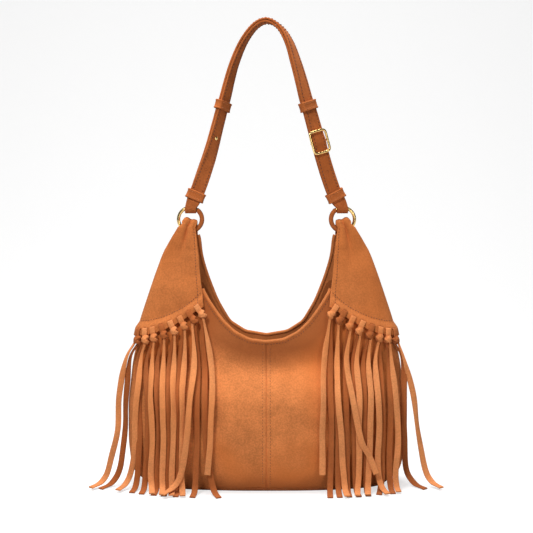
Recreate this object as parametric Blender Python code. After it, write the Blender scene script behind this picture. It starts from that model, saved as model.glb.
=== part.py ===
"""Fringed suede shoulder bag: a soft slouched body, two ears that hold brass rings, a doubled
strap with a slide and a ball stud, and sixteen knotted suede thongs. Lengths below are in
millimetres; MM turns them into metres when a mesh is made. X is across, -Y the front, +Z up,
and the origin is the middle of the underside of the base."""

import math

import bmesh
import bpy
import numpy as np
from mathutils import Vector

MM = 0.001

# Body: half width and half depth of the bag's outside against height.
HALF_WIDTH = ((0, 148), (5, 158), (12, 169), (25, 176.5), (57, 180), (110, 180), (160, 174.5),
              (208, 164.5), (227, 158.5), (270, 144), (300, 133), (322, 122), (336, 115))
HALF_DEPTH = ((0, 43), (12, 52), (25, 58), (60, 64), (100, 62), (120, 57), (140, 45),
              (156, 33), (170, 30), (191, 31), (230, 25), (262, 20), (300, 11), (322, 8), (336, 7))
OUTLINE_POWER = 2.4
SIDE_SEAM_GAP = 0.3
# Height of the front and back edges of the mouth against x / half width.
FRONT_TOP = ((0, 191), (0.13, 193.5), (0.247, 203), (0.345, 217), (0.47, 240), (0.555, 257),
             (0.58, 267), (0.65, 297), (0.69, 309), (0.75, 311), (1, 311))
BACK_TOP = ((0, 194), (0.17, 199), (0.3, 212.5), (0.42, 240), (0.53, 270), (0.6, 289),
            (0.66, 306), (0.73, 311), (1, 311))
PANEL_THICKNESS = 2.4
BASE_THICKNESS = 4.5
PIECE_GAP = 0.3
SIDE_STEPS = (0, 0.12, 0.24, 0.36, 0.48, 0.6, 0.72, 0.82, 0.9, 0.955, 0.987, 1)
BEAD_WIDTH = 5.0
BEAD_HEIGHT = 4.0
FRONT_BEAD_END = 0.505
BACK_BEAD_END = 0.63

# Ears: the front yoke lies on the panel, folds over the ring and ends as a flap behind.
YOKE_THICKNESS = 2.0
YOKE_GAP = 0.5
YOKE_STEPS = (0, 0.15, 0.3, 0.44, 0.56, 0.67, 0.77, 0.86, 0.92, 0.965, 0.99, 1)
YOKE_INNER = ((234, 0.515), (241, 0.53), (257, 0.562), (267, 0.585), (297, 0.655), (315, 0.715),
              (322, 0.745))
BAND_EDGE = ((0.515, 235), (0.62, 221.7), (0.687, 213.6), (0.767, 206.3), (0.85, 200.5),
             (0.93, 197), (1, 195.5))
# Rows of the yoke: height above the band's edge, then the share of what is left to the fold.
YOKE_ROWS = ((0, 0), (4.5, 0), (9, 0), (13, 0), (17, 0), (17, 0.14), (17, 0.3), (17, 0.46),
             (17, 0.62), (17, 0.76), (17, 0.88), (17, 1))
BAND_STANDOFF = 3.6
BAND_DEPTH = 13.0
SLOT_RISE = 7.7
SLOT_WIDTH = 7.6
SLOT_HEIGHT = 3.2
TIP_START = 310.0
TIP_STRAIGHT = 330.0
TIP_FOLD = 338.5
TIP_OUTER = 110.0
TIP_INNER = 94.0
TIP_HALF_GAP = 6.0
FLAP_BOTTOM = 302.0

# Rings.
RING_X = 99.0
RING_Z = 345.5
RING_RADIUS = 15.25
WIRE_RADIUS = 2.2
WRAP_INNER = 2.5
WRAP_OUTER = 3.0
WRAP_FROM = -60.0
WRAP_TO = 50.0
EAR_AXIS_Z = 332.0

# Strap: the line midway between its two plies, from the left ring to the right ring.
STRAP_AXIS_Z = 359.8
STRAP_LINE = ((-98.5, 0, 359.8), (-95, 0, 369), (-88, 1, 386), (-79.5, 3, 411), (-72, 6, 435),
              (-59.3, 10, 484), (-53.5, 11, 505), (-47.5, 11, 529), (-41, 9, 550),
              (-31.5, 6, 572), (-21, 3, 588), (-10.5, 1, 598), (0, 0, 601.5), (10.5, -1, 598),
              (21, -3, 588), (30, -6, 571), (36.5, -9, 551), (43.5, -11, 527), (50.5, -11, 500),
              (56, -10, 483), (71, -6, 430), (79, -3, 404), (88, -1, 379), (94.5, 0, 368),
              (98.5, 0, 359.8))
STRAP_TURN = ((0, 90), (0.04, 87), (0.1, 66), (0.14, 52), (0.19, 42), (0.27, 36), (0.36, 25),
              (0.5, 8), (0.64, 40), (0.78, 62), (0.95, 86), (1, 90))
STRAP_WIDTH = 19.0
FOLD_WIDTH = 14.6
PLY = 2.8
FOLD_OFFSET = 5.3
PLY_OFFSET = 1.6
STRAP_STEPS = 72
STRAP_STATIONS = 62
KEEPER_LENGTH = 12.0
KEEPER_WALL = 2.2
KEEPERS = (("upper_left", 493.0, 4.0), ("lower_left", 376.0, 5.6), ("upper_right", 491.0, 4.0),
           ("lower_right", 376.0, 6.2))
HOLE_RADIUS = 1.5
LEFT_HOLE_Z = 410.0
RIGHT_HOLE_Z = 407.0
STUD_Z = 451.0
RIVET_Z = 424.0
SLIDE_Z = 445.0
SLIDE_BULGE = 1.6

# Thongs: x / half width of each slot, from the inner end of the band to the side seam.
SLOTS = (0.575, 0.632, 0.692, 0.756, 0.821, 0.881, 0.932, 0.974)
THONG_WIDTH = 6.4
THONG_THICKNESS = 1.6
LOOP_GAP = 1.0
LOOP_WIDTH = 5.0
LOOP_DROP = 1.5
KNOT_SIZE = (9.6, 7.0, 9.4)
TAIL_STEPS = 10
# Each tail: x at four heights going down, then at its end, depth layer, height of its end.
TAIL_HEIGHTS = (165, 120, 70, 25)
TAIL_LEAD = 15.0
LEFT_TAILS = (
    ((-70, -69, -70, -72, -74, 1, 26), (-79, -78, -77, -71, -59, 0, 1)),
    ((-91, -95, -100, -108, -129, 2, 1), (-88, -87, -87, -89, -92, 0, 1)),
    ((-104, -105, -106, -107, -104, 1, 1), (-110, -112, -112, -111, -113, 0, 1)),
    ((-117, -117, -118, -119, -118, 1, 1), (-124, -125, -125, -126, -128, 0, 1)),
    ((-131, -131, -131, -131, -130, 1, 1), (-139, -138, -136, -138, -141, 0, 1)),
    ((-146, -146, -146, -147, -143, 1, 1), (-153, -153, -152, -154, -157, 0, 1)),
    ((-161, -164, -168, -174, -188, 1, 1), (-166, -164, -163, -165, -170, 0, 1)),
    ((-181, -189, -193, -203, -224, 1, 1), (-176, -180, -184, -190, -212, 0, 1)),
)
RIGHT_TAILS = (
    ((74, 71, 70, 70, 70, 1, 26), (81, 81, 81, 80, 79, 0, 1)),
    ((90, 91, 94, 97, 100, 1, 1), (90, 90, 90, 90, 91, 0, 1)),
    ((102, 109, 118, 129, 138, 2, 26), (100, 100, 100, 101, 103, 0, 1)),
    ((115, 116, 116, 116, 113, 1, 1), (110, 111, 112, 112, 115, 0, 1)),
    ((130, 131, 131, 129, 126, 1, 1), (124, 125, 125, 126, 127, 0, 1)),
    ((139, 141, 142, 142, 151, 1, 1), (146, 146, 147, 147, 141, 0, 1)),
    ((160, 164, 167, 164, 166, 1, 1), (157, 158, 158, 157, 159, 0, 1)),
    ((177, 189, 196, 204, 223, 1, 1), (175, 177, 178, 181, 203, 0, 1)),
)

SUEDE = (0.60, 0.185, 0.060)
SUEDE_DARK = (0.36, 0.095, 0.027)
BRASS = (0.80, 0.56, 0.22)


def curve_value(table, at):
    """A smooth value read from a short table: straight between points, with eased corners."""
    keys = np.array([row[0] for row in table], float)
    values = np.array([row[1] for row in table], float)
    spread = 0.02 * (keys[-1] - keys[0])
    return float(np.mean([np.interp(at + d * spread, keys, values) for d in (-1, -0.5, 0, 0.5, 1)]))


def bag_point(s, z, depth_sign, extra=0.0):
    """A point of the bag's outside at s = x / half width; extra moves it out along y."""
    across = min(abs(s), 1.0)
    depth = (1 - across**OUTLINE_POWER) ** (1 / OUTLINE_POWER)
    y = SIDE_SEAM_GAP / 2 + depth * curve_value(HALF_DEPTH, z) + extra
    return np.array([s * curve_value(HALF_WIDTH, z), depth_sign * y, z])


def normals_of(grid):
    """The unit normal at each point of a grid of points, pointing away from the bag's middle."""
    down = np.gradient(grid, axis=0)
    along = np.gradient(grid, axis=1)
    normal = np.cross(down, along)
    normal /= np.maximum(np.linalg.norm(normal, axis=2, keepdims=True), 1e-9)
    middle = grid.reshape(-1, 3).mean(axis=0) * np.array([0.35, 0, 1])
    facing = ((grid - middle) * normal).sum(axis=2).mean()
    return normal if facing > 0 else -normal


def material(name, colour, roughness, metallic=0.0):
    made = bpy.data.materials.new(name)
    made.use_nodes = True
    shader = made.node_tree.nodes["Principled BSDF"]
    shader.inputs["Base Color"].default_value = (*colour, 1)
    shader.inputs["Roughness"].default_value = roughness
    shader.inputs["Metallic"].default_value = metallic
    return made


def make_object(name, points, faces, finish, origin=(0, 0, 0), smooth=False, helper=False):
    """A mesh object whose origin is at `origin`; every length comes in millimetres."""
    mesh = bpy.data.meshes.new(name)
    shifted = (np.asarray(points, float) - np.asarray(origin, float)) * MM
    mesh.from_pydata([tuple(p) for p in shifted], [], [tuple(f) for f in faces])
    work = bmesh.new()
    work.from_mesh(mesh)
    bmesh.ops.remove_doubles(work, verts=work.verts, dist=1e-6)
    bmesh.ops.recalc_face_normals(work, faces=work.faces)
    work.to_mesh(mesh)
    work.free()
    if smooth:
        mesh.shade_smooth()
        mesh.set_sharp_from_angle(angle=math.radians(40))
    made = bpy.data.objects.new(name, mesh)
    made.location = Vector(origin) * MM
    bpy.context.scene.collection.objects.link(made)
    if finish:
        mesh.materials.append(finish)
    if helper:
        made.hide_render = True
        made.display_type = "WIRE"
    return made


def sheet(name, outer, inner, finish, origin=(0, 0, 0)):
    """A closed sheet from two grids of points of the same size."""
    rows, columns = outer.shape[:2]
    points = np.concatenate([outer.reshape(-1, 3), inner.reshape(-1, 3)])
    back = rows * columns
    faces = []
    for r in range(rows - 1):
        for c in range(columns - 1):
            a = r * columns + c
            quad = (a, a + 1, a + columns + 1, a + columns)
            faces.append(quad)
            faces.append(tuple(back + i for i in reversed(quad)))
    rim = [c for c in range(columns)]
    rim += [r * columns + columns - 1 for r in range(1, rows)]
    rim += [(rows - 1) * columns + c for c in range(columns - 2, -1, -1)]
    rim += [r * columns for r in range(rows - 2, 0, -1)]
    for a, b in zip(rim, rim[1:] + rim[:1]):
        faces.append((b, a, back + a, back + b))
    return make_object(name, points, faces, finish, origin, smooth=True)


def sweep(name, sections, finish, origin=(0, 0, 0), closed=False, smooth=True, helper=False):
    """A solid through a list of sections, each a loop with the same number of points."""
    count = len(sections[0])
    faces = []
    last = len(sections) if closed else len(sections) - 1
    for i in range(last):
        first = i * count
        second = ((i + 1) % len(sections)) * count
        for k in range(count):
            n = (k + 1) % count
            faces.append((first + k, first + n, second + n, second + k))
    if not closed:
        faces.append(tuple(range(count - 1, -1, -1)))
        faces.append(tuple(range((len(sections) - 1) * count, len(sections) * count)))
    return make_object(name, np.concatenate(sections), faces, finish, origin, smooth, helper)


def block(centre, across, along, out, size):
    """The eight corners of a box with axes across, along, out and full sizes `size`."""
    corners = []
    for k in (-0.5, 0.5):
        for i, j in ((-0.5, -0.5), (0.5, -0.5), (0.5, 0.5), (-0.5, 0.5)):
            corners.append(centre + across * i * size[0] + along * j * size[1] + out * k * size[2])
    return np.array(corners[:4]), np.array(corners[4:])


def unite(target, *helpers):
    for helper in helpers:
        join = target.modifiers.new("join_" + helper.name, "BOOLEAN")
        join.operation = "UNION"
        join.solver = "MANIFOLD"
        join.object = helper


def cut(target, helper):
    opening = target.modifiers.new("cut_" + helper.name, "BOOLEAN")
    opening.operation = "DIFFERENCE"
    opening.solver = "MANIFOLD"
    opening.object = helper


def edge_below_bead(top_table):
    """The panel's own edge as (x / half width, height): the mouth's edge less the bead."""
    rim = []
    for s in np.linspace(-1, 1, 81):
        rim.append(bag_point(s, curve_value(top_table, abs(s)), 1)[[0, 2]])
    rim = np.array(rim)
    run = np.gradient(rim, axis=0)
    run /= np.linalg.norm(run, axis=1, keepdims=True)
    inset = rim + np.stack([run[:, 1], -run[:, 0]], axis=1) * (BEAD_HEIGHT + 1.5)
    share = [x / curve_value(HALF_WIDTH, z) for x, z in inset]
    return [(s, z) for s, z in zip(share, inset[:, 1]) if s >= 0]


def body_panel(name, side_values, top_table, depth_sign, finish):
    """A panel of the body from just above the base up to the mouth and the ears."""
    bottom = BASE_THICKNESS + PIECE_GAP
    rows = 10
    grid = np.zeros((rows, len(side_values), 3))
    edge = edge_below_bead(top_table)
    for c, s in enumerate(side_values):
        top = np.interp(abs(s), [row[0] for row in edge], [row[1] for row in edge])
        for r in range(rows):
            share = (r / (rows - 1)) ** 1.25
            grid[r, c] = bag_point(s, bottom + (top - bottom) * share, depth_sign)
    inner = grid - normals_of(grid) * PANEL_THICKNESS
    inner[0, :, 2] = bottom
    inner[:, :, 1] = depth_sign * np.maximum(depth_sign * inner[:, :, 1], SIDE_SEAM_GAP / 2)
    return sheet(name, grid, inner, finish)


def rim_bead(name, top_table, depth_sign, end, finish):
    """The turned edge that caps a panel along the mouth."""
    centres = []
    for s in np.linspace(-end, end, 23):
        top = curve_value(top_table, abs(s))
        centre = bag_point(s, top, depth_sign)
        centre[1] -= depth_sign * PANEL_THICKNESS / 2
        centre[2] -= BEAD_HEIGHT / 2
        centres.append(centre)
    centres = np.array(centres)
    tangents = np.gradient(centres, axis=0)
    sections = []
    for centre, tangent in zip(centres, tangents):
        out = np.array([0, 1.0, 0])
        tangent = tangent / np.linalg.norm(tangent)
        out -= tangent * out.dot(tangent)
        out /= np.linalg.norm(out)
        up = np.cross(out, tangent)
        corners = ((-0.5, -0.25), (-0.3, -0.5), (0.3, -0.5), (0.5, -0.25), (0.5, 0.25), (0.3, 0.5),
                   (-0.3, 0.5), (-0.5, 0.25))
        sections.append(np.array([centre + out * a * BEAD_WIDTH + up * b * BEAD_HEIGHT
                                  for a, b in corners]))
    return sweep(name, sections, finish)


def base_panel(finish):
    sides = np.concatenate([-np.array(SIDE_STEPS)[::-1], SIDE_STEPS[1:]])
    front = [bag_point(s, 0, -1) for s in sides]
    back = [bag_point(s, 0, 1) for s in sides[::-1]]
    outline = np.array(front + back)
    lower = outline * np.array([0.985, 0.96, 1])
    middle = outline + np.array([0, 0, 1.4])
    upper = outline + np.array([0, 0, BASE_THICKNESS])
    return sweep("base_panel", [lower, middle, upper], finish, smooth=False)


def band_height(s):
    return curve_value(BAND_EDGE, s)


def yoke_point(side, q, z, depth_sign):
    """A point midway through the yoke: q runs 0 at its inner edge to 1 at the side seam."""
    inner = curve_value(YOKE_INNER, min(z, YOKE_INNER[-1][0]))
    s = inner + (1 - inner) * q
    above = z - band_height(s)
    raised = BAND_STANDOFF * (1 - np.clip((above - BAND_DEPTH + 4) / 8, 0, 1))
    extra = YOKE_GAP + YOKE_THICKNESS / 2 + (raised if depth_sign < 0 else 0)
    on_bag = bag_point(s, min(z, 322), depth_sign)
    step = 1e-3
    ahead = bag_point(min(s + step, 1), min(z, 322), depth_sign)
    behind = bag_point(max(s - step, 0), min(z, 322), depth_sign)
    along = (ahead - behind)[:2]
    along /= np.linalg.norm(along)
    out = np.array([along[1], -along[0], 0])
    if out[1] * depth_sign < 0:
        out = -out
    on_bag[:2] += out[:2] * extra
    blend = np.clip((z - TIP_START) / (TIP_STRAIGHT - TIP_START), 0, 1)
    blend = blend * blend * (3 - 2 * blend)
    tip_x = TIP_INNER + (TIP_OUTER - TIP_INNER) * q
    x = (1 - blend) * on_bag[0] + blend * tip_x
    y = (1 - blend) * on_bag[1] + blend * depth_sign * TIP_HALF_GAP
    return np.array([side * x, y, z])


def yoke(name, side, finish):
    """The front of an ear: from the slotted band up, over the ring and down to a flap behind."""
    columns = YOKE_STEPS
    rows = []
    inner = curve_value(YOKE_INNER, YOKE_INNER[0][0])
    for rise, share in YOKE_ROWS:
        row = []
        for q in columns:
            low = band_height(inner + (1 - inner) * q)
            z = low + rise + (TIP_FOLD - low - rise) * share
            row.append(yoke_point(side, q, z, -1))
        rows.append(row)
    for angle in np.linspace(30, 150, 5):
        turn = math.radians(angle)
        rows.append([np.array([side * (TIP_INNER + (TIP_OUTER - TIP_INNER) * q),
                               -TIP_HALF_GAP * math.cos(turn),
                               TIP_FOLD + TIP_HALF_GAP * math.sin(turn)]) for q in columns])
    for z in (TIP_FOLD, 333, 327, 320, 314, FLAP_BOTTOM):
        rows.append([yoke_point(side, q * 0.9 + 0.02, z, 1) for q in columns])
    grid = np.array(rows)
    normal = normals_of(grid)
    if normal[3, 5, 1] > 0:
        normal = -normal
    half = normal * YOKE_THICKNESS / 2
    made = sheet(name, grid + half, grid - half, finish)
    cutters = []
    faces = []
    for s in SLOTS:
        centre, across, up, out = slot_frame(side, s)
        low, high = block(centre, across, up, out, (SLOT_WIDTH, SLOT_HEIGHT, 7))
        first = 8 * len(faces)
        faces.append([tuple(first + i for i in f) for f in
                      ((3, 2, 1, 0), (4, 5, 6, 7), (0, 1, 5, 4), (1, 2, 6, 5), (2, 3, 7, 6),
                       (3, 0, 4, 7))])
        cutters.append(np.concatenate([low, high]))
    flat_faces = [face for group in faces for face in group]
    slots = make_object(name + "_slots", np.concatenate(cutters), flat_faces, None, helper=True)
    cut(made, slots)
    return made


def slot_frame(side, s):
    """Centre of a slot midway through the band, and its directions across, up and outwards."""
    def band_point(at, rise):
        z = band_height(at) + rise
        first = curve_value(YOKE_INNER, min(z, YOKE_INNER[-1][0]))
        q = (at - first) / (1 - first)
        return yoke_point(side, q, z, -1)
    centre = band_point(s, SLOT_RISE)
    across = band_point(min(s + 0.012, 0.999), SLOT_RISE) - band_point(s - 0.012, SLOT_RISE)
    across /= np.linalg.norm(across)
    up = band_point(s, SLOT_RISE + 2) - band_point(s, SLOT_RISE - 2)
    up -= across * up.dot(across)
    up /= np.linalg.norm(up)
    out = np.cross(across, up)
    if out.dot(np.array([centre[0] * 0.3, centre[1], 0])) < 0:
        out = -out
    return centre, across, up, out


def body_depth(x, z):
    """How far in front of the middle plane the body stands at x, at or above height z."""
    deepest = 0.0
    for height in np.arange(z, 235, 6.0):
        s = max(abs(x) - THONG_WIDTH / 2, 0) / curve_value(HALF_WIDTH, height)
        if s < 1:
            deepest = max(deepest, -bag_point(s, height, -1)[1])
    return deepest


def spline(points, count):
    """Points evenly spaced along a smooth curve through `points`."""
    points = np.asarray(points, float)
    padded = np.concatenate([[2 * points[0] - points[1]], points, [2 * points[-1] - points[-2]]])
    fine = []
    for i in range(len(points) - 1):
        a, b, c, d = padded[i:i + 4]
        for t in np.linspace(0, 1, 12, endpoint=False):
            fine.append(0.5 * (2 * b + (c - a) * t + (2 * a - 5 * b + 4 * c - d) * t**2
                               + (3 * b - a - 3 * c + d) * t**3))
    fine.append(points[-1])
    fine = np.array(fine)
    length = np.concatenate([[0], np.cumsum(np.linalg.norm(np.diff(fine, axis=0), axis=1))])
    at = np.linspace(0, length[-1], count)
    return np.stack([np.interp(at, length, fine[:, k]) for k in range(3)], axis=1)


def tail_route(knot, tail, side_step):
    """A tail's middle line: out of the knot, down over the body and on to the ground."""
    across_at, layer, end_height = tail[:5], tail[5], tail[6]
    gap = 2.6 + 4.2 * layer
    start = knot + np.array([side_step, 0, -KNOT_SIZE[2] * 0.3])
    points = [start]
    for x, z in zip(across_at, TAIL_HEIGHTS):
        points.append(np.array([x, min(-body_depth(x, z - TAIL_LEAD) - gap, -14.0 - gap), z]))
    front = points[-1][1]
    if end_height > 10:
        points[-1][2] = end_height + 22
        points.append(np.array([across_at[4], front - 1, end_height]))
        return spline(points, TAIL_STEPS)
    lift = THONG_THICKNESS / 2 + 0.6 + 2.4 * layer
    near = across_at[3] + (across_at[4] - across_at[3]) * 0.45
    points.append(np.array([near, front - 5, 4 + lift]))
    points.append(np.array([across_at[4], front - 22, lift]))
    return spline(points, TAIL_STEPS)


def ribbon_sections(line, start_across, width, thickness):
    """Rectangular sections along a line, their width turning from start_across towards x."""
    tangents = np.gradient(line, axis=0)
    sections = []
    for i, (point, tangent) in enumerate(zip(line, tangents)):
        tangent = tangent / np.linalg.norm(tangent)
        share = min(i / 4, 1)
        across = start_across * (1 - share) + np.array([1.0, 0, 0]) * share
        across = across - tangent * across.dot(tangent)
        across /= np.linalg.norm(across)
        out = np.cross(tangent, across)
        sections.append(np.array([point + across * a * width + out * b * thickness
                                  for a, b in ((-.5, -.5), (.5, -.5), (.5, .5), (-.5, .5))]))
    return sections


def thong(name, side, s, tails, finish):
    """One suede thong: a loop through its slot, a knot below the band and two tails."""
    slot_centre, across, up, out = slot_frame(side, s)
    if across[0] < 0:
        across = -across
    edge = slot_centre - up * SLOT_RISE
    half_in = YOKE_THICKNESS / 2 + LOOP_GAP
    half_out = half_in + THONG_THICKNESS
    low_in, low_out = -LOOP_DROP, -LOOP_DROP - THONG_THICKNESS
    high_in = SLOT_RISE - 0.8
    high_out = high_in + THONG_THICKNESS
    loops = []
    for n, b in ((half_out, low_out), (half_out, high_out), (-half_out, high_out),
                 (-half_out, low_out)):
        inner_n = math.copysign(half_in, n)
        inner_b = high_in if b > 0 else low_in
        corner = []
        for w in (-0.5, 0.5):
            corner.append(edge + out * n + up * b + across * w * LOOP_WIDTH)
        for w in (0.5, -0.5):
            corner.append(edge + out * inner_n + up * inner_b + across * w * LOOP_WIDTH)
        loops.append(np.array(corner))
    made = sweep(name, loops, finish, closed=True, smooth=False)
    knot_centre = edge + up * (low_out - KNOT_SIZE[2] * 0.5 + 1.0) + out * 0.8
    sections = []
    for level in (-0.5, -0.28, 0.28, 0.5):
        scale = 0.72 if abs(level) > 0.4 else 1.0
        ring = []
        for k in range(8):
            turn = math.radians(22.5 + 45 * k)
            ring.append(knot_centre + up * level * KNOT_SIZE[2]
                        + across * math.cos(turn) * scale * KNOT_SIZE[0] * 0.54
                        + out * math.sin(turn) * scale * KNOT_SIZE[1] * 0.54)
        sections.append(np.array(ring))
    knot = sweep(name + "_knot", sections, None, helper=True)
    helpers = [knot]
    for index, tail in enumerate(tails):
        step = 1.4 if tail[0] > tails[1 - index][0] else -1.4
        line = tail_route(knot_centre, tail, step)
        line[0] += out * (1.1 if index == 0 else -1.0) - up * 0.9 * index
        ribbon = ribbon_sections(line, across, THONG_WIDTH, THONG_THICKNESS)
        helpers.append(sweep(f"{name}_tail_{index + 1}", ribbon, None, smooth=False, helper=True))
    unite(made, *helpers)
    return made


def ring_sections(radius, first, last, steps, side):
    """Circles of wire around a ring's centre line, between two angles in degrees."""
    sections = []
    for angle in np.linspace(math.radians(first), math.radians(last), steps):
        outward = np.array([side * -math.cos(angle), 0, math.sin(angle)])
        centre = np.array([side * RING_X, 0, RING_Z]) + outward * RING_RADIUS
        loop = []
        for turn in np.linspace(0, 2 * math.pi, 8, endpoint=False):
            loop.append(centre + (outward * math.cos(turn) + np.array([0, math.sin(turn), 0]))
                        * radius)
        sections.append(np.array(loop))
    return sections


def ring(name, side, finish):
    sections = ring_sections(WIRE_RADIUS, 0, 360, 25, side)[:-1]
    return sweep(name, sections, finish, (side * RING_X, 0, EAR_AXIS_Z), closed=True)


def ring_wrap(name, side, finish):
    """The suede sleeve on the half of the ring towards the middle of the bag."""
    outer = ring_sections(WRAP_OUTER, WRAP_FROM, WRAP_TO, 8, side)
    inner = ring_sections(WRAP_INNER, WRAP_FROM, WRAP_TO, 8, side)
    return sweep(name, outer + inner[::-1], finish, (side * RING_X, 0, EAR_AXIS_Z), closed=True)


class StrapLine:
    """The strap's middle line with its across and outward directions."""

    def __init__(self):
        self.points = spline(STRAP_LINE, STRAP_STEPS + 1)
        tangents = np.gradient(self.points, axis=0)
        tangents[0] = (0, 0, 1)
        tangents[-1] = (0, 0, -1)
        self.along = tangents / np.linalg.norm(tangents, axis=1, keepdims=True)
        self.across = []
        for i, tangent in enumerate(self.along):
            turn = math.radians(curve_value(STRAP_TURN, i / STRAP_STEPS))
            across = np.array([math.sin(turn), math.cos(turn), 0])
            across -= tangent * across.dot(tangent)
            self.across.append(across / np.linalg.norm(across))
        self.across = np.array(self.across)
        self.out = np.cross(self.along, self.across)
        steps = np.linalg.norm(np.diff(self.points, axis=0), axis=1)
        self.length = np.concatenate([[0], np.cumsum(steps)])

    def at(self, length):
        def read(values):
            return np.array([np.interp(length, self.length, values[:, k]) for k in range(3)])
        along = read(self.along)
        along /= np.linalg.norm(along)
        across = read(self.across)
        across -= along * across.dot(along)
        across /= np.linalg.norm(across)
        return read(self.points), along, across, np.cross(along, across)

    def length_at(self, side, z):
        middle = len(self.points) // 2
        if side < 0:
            return float(np.interp(z, self.points[:middle, 2], self.length[:middle]))
        return float(np.interp(-z, -self.points[middle:, 2], self.length[middle:]))


def ply_offset(strap, length):
    """Half the distance between the plies' middles: wide round the rings, then closing."""
    near = min(length, strap.length[-1] - length)
    share = np.clip(near / 19.0, 0, 1)
    share = share * share * (3 - 2 * share)
    return FOLD_OFFSET * (1 - share) + PLY_OFFSET * share


def strap_width(strap, length):
    near = min(length, strap.length[-1] - length)
    share = np.clip((near - 1) / 14.0, 0, 1)
    return FOLD_WIDTH + (STRAP_WIDTH - FOLD_WIDTH) * share


def slide_bump(strap, length, size):
    """How far a ply bows away from the slide's middle bar."""
    distance = abs(length - strap.length_at(1, SLIDE_Z))
    return size * 0.5 * (1 + math.cos(math.pi * min(distance / 10.5, 1)))


def ply_section(strap, length, sign):
    point, along, across, out = strap.at(length)
    bump = SLIDE_BULGE if sign > 0 else -1.0
    offset = sign * ply_offset(strap, length) + slide_bump(strap, length, bump)
    middle = point + out * offset
    half = across * strap_width(strap, length) / 2
    rise = out * PLY / 2
    return np.array([middle - half - rise, middle + half - rise, middle + half + rise,
                     middle - half + rise])


def fold_sections(side):
    """The turn of the strap under a ring's wire, from the outer ply to the tail on the left."""
    centre = np.array([side * -STRAP_LINE[0][0], 0, STRAP_AXIS_Z])
    sections = []
    for angle in np.linspace(180, 0, 9)[1:-1]:
        turn = math.radians(angle)
        outward = np.array([0, side * math.cos(turn) * -1, -math.sin(turn)])
        middle = centre + outward * FOLD_OFFSET
        half = np.array([FOLD_WIDTH / 2, 0, 0])
        rise = outward * PLY / 2
        sections.append(np.array([middle - half - rise, middle + half - rise,
                                  middle + half + rise, middle - half + rise]))
    return sections


def lengths_between(strap, first, last):
    """Shared stations, closer together by the slide, from first to last."""
    low, high = min(first, last), max(first, last)
    shared = np.linspace(0, strap.length[-1], STRAP_STATIONS)
    wanted = [first, last] + [x for x in shared if low + 2 < x < high - 2]
    middle = strap.length_at(1, SLIDE_Z)
    wanted += [middle + d for d in (-10.5, -7, -3.5, 0, 3.5, 7, 10.5) if low < middle + d < high]
    wanted = sorted({round(float(value), 2) for value in wanted}, reverse=bool(last < first))
    kept = [wanted[0]]
    for length in wanted[1:]:
        if abs(length - kept[-1]) > 2.0:
            kept.append(length)
    kept[-1] = wanted[-1]
    return kept


def hole_cutter(strap, name, side, z, radius=HOLE_RADIUS):
    point, along, across, out = strap.at(strap.length_at(side, z))
    sections = []
    for reach in (-9, 9):
        sections.append(np.array([point + out * reach
                                  + (across * math.cos(t) + along * math.sin(t)) * radius
                                  for t in np.linspace(0, 2 * math.pi, 10, endpoint=False)]))
    return sweep(name, sections, None, helper=True)


def strap_plies(strap, suede, pivot):
    left_end = strap.length_at(-1, KEEPERS[0][1])
    right_end = strap.length_at(1, KEEPERS[2][1])
    total = strap.length[-1]
    left_turn = fold_sections(-1)
    right_turn = fold_sections(1)
    tail_left = [ply_section(strap, x, -1)[[3, 2, 1, 0]] for x in
                 lengths_between(strap, left_end, 0.0)]
    outer = [ply_section(strap, x, 1) for x in lengths_between(strap, 0.0, total)]
    tail_right = [ply_section(strap, x, -1)[[3, 2, 1, 0]] for x in
                  lengths_between(strap, total, right_end)]
    main = sweep("strap_outer", tail_left + left_turn + outer + right_turn[::-1] + tail_right,
                 suede, pivot, smooth=False)
    lining = sweep("strap_inner",
                   [ply_section(strap, x, -1) for x in
                    lengths_between(strap, left_end + 0.6, right_end - 0.6)],
                   suede, pivot, smooth=False)
    cut(main, hole_cutter(strap, "left_hole", -1, LEFT_HOLE_Z))
    cut(main, hole_cutter(strap, "right_hole", 1, RIGHT_HOLE_Z))
    cut(main, hole_cutter(strap, "stud_hole", -1, STUD_Z, 1.6))
    cut(main, hole_cutter(strap, "rivet_hole", -1, RIVET_Z, 1.3))
    return main, lining


def keeper(strap, name, side, z, half_thickness, finish):
    """A stitched suede loop round both plies, with its origin at its middle."""
    point, along, across, out = strap.at(strap.length_at(side, z))
    half_width = STRAP_WIDTH / 2 + 0.6
    sections = []
    corners = ((-1, -1), (1, -1), (1, 1), (-1, 1))
    for a, b in corners:
        ring = []
        for grow, reach in ((0, -0.5), (KEEPER_WALL, -0.5), (KEEPER_WALL, 0.5), (0, 0.5)):
            ring.append(point + across * a * (half_width + grow) + out * b * (half_thickness + grow)
                        + along * reach * KEEPER_LENGTH)
        sections.append(np.array(ring))
    return sweep("keeper_" + name, sections, finish, tuple(point), closed=True, smooth=False)


def lathe(name, origin, axis, across, profile, finish, sides=12, helper=False):
    """A turned solid: profile holds (radius, height) pairs from bottom to top, both capped."""
    other = np.cross(axis, across)
    sections = []
    for radius, height in profile:
        sections.append(np.array([origin + axis * height
                                  + (across * math.cos(t) + other * math.sin(t)) * radius
                                  for t in np.linspace(0, 2 * math.pi, sides, endpoint=False)]))
    return sweep(name, sections, finish, tuple(origin), helper=helper)


def ball_stud(strap, finish):
    point, along, across, out = strap.at(strap.length_at(-1, STUD_Z))
    face = PLY_OFFSET + PLY / 2 + 0.3
    profile = ((2.4, -face - 0.8), (2.4, -face), (1.2, -face), (1.2, face), (3.0, face),
               (3.0, face + 0.9), (1.5, face + 1.1), (1.5, face + 2.6), (2.7, face + 3.4),
               (3.4, face + 4.9), (2.7, face + 6.6), (0.9, face + 7.4))
    return lathe("ball_stud", point, out, across, profile, finish)


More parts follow.
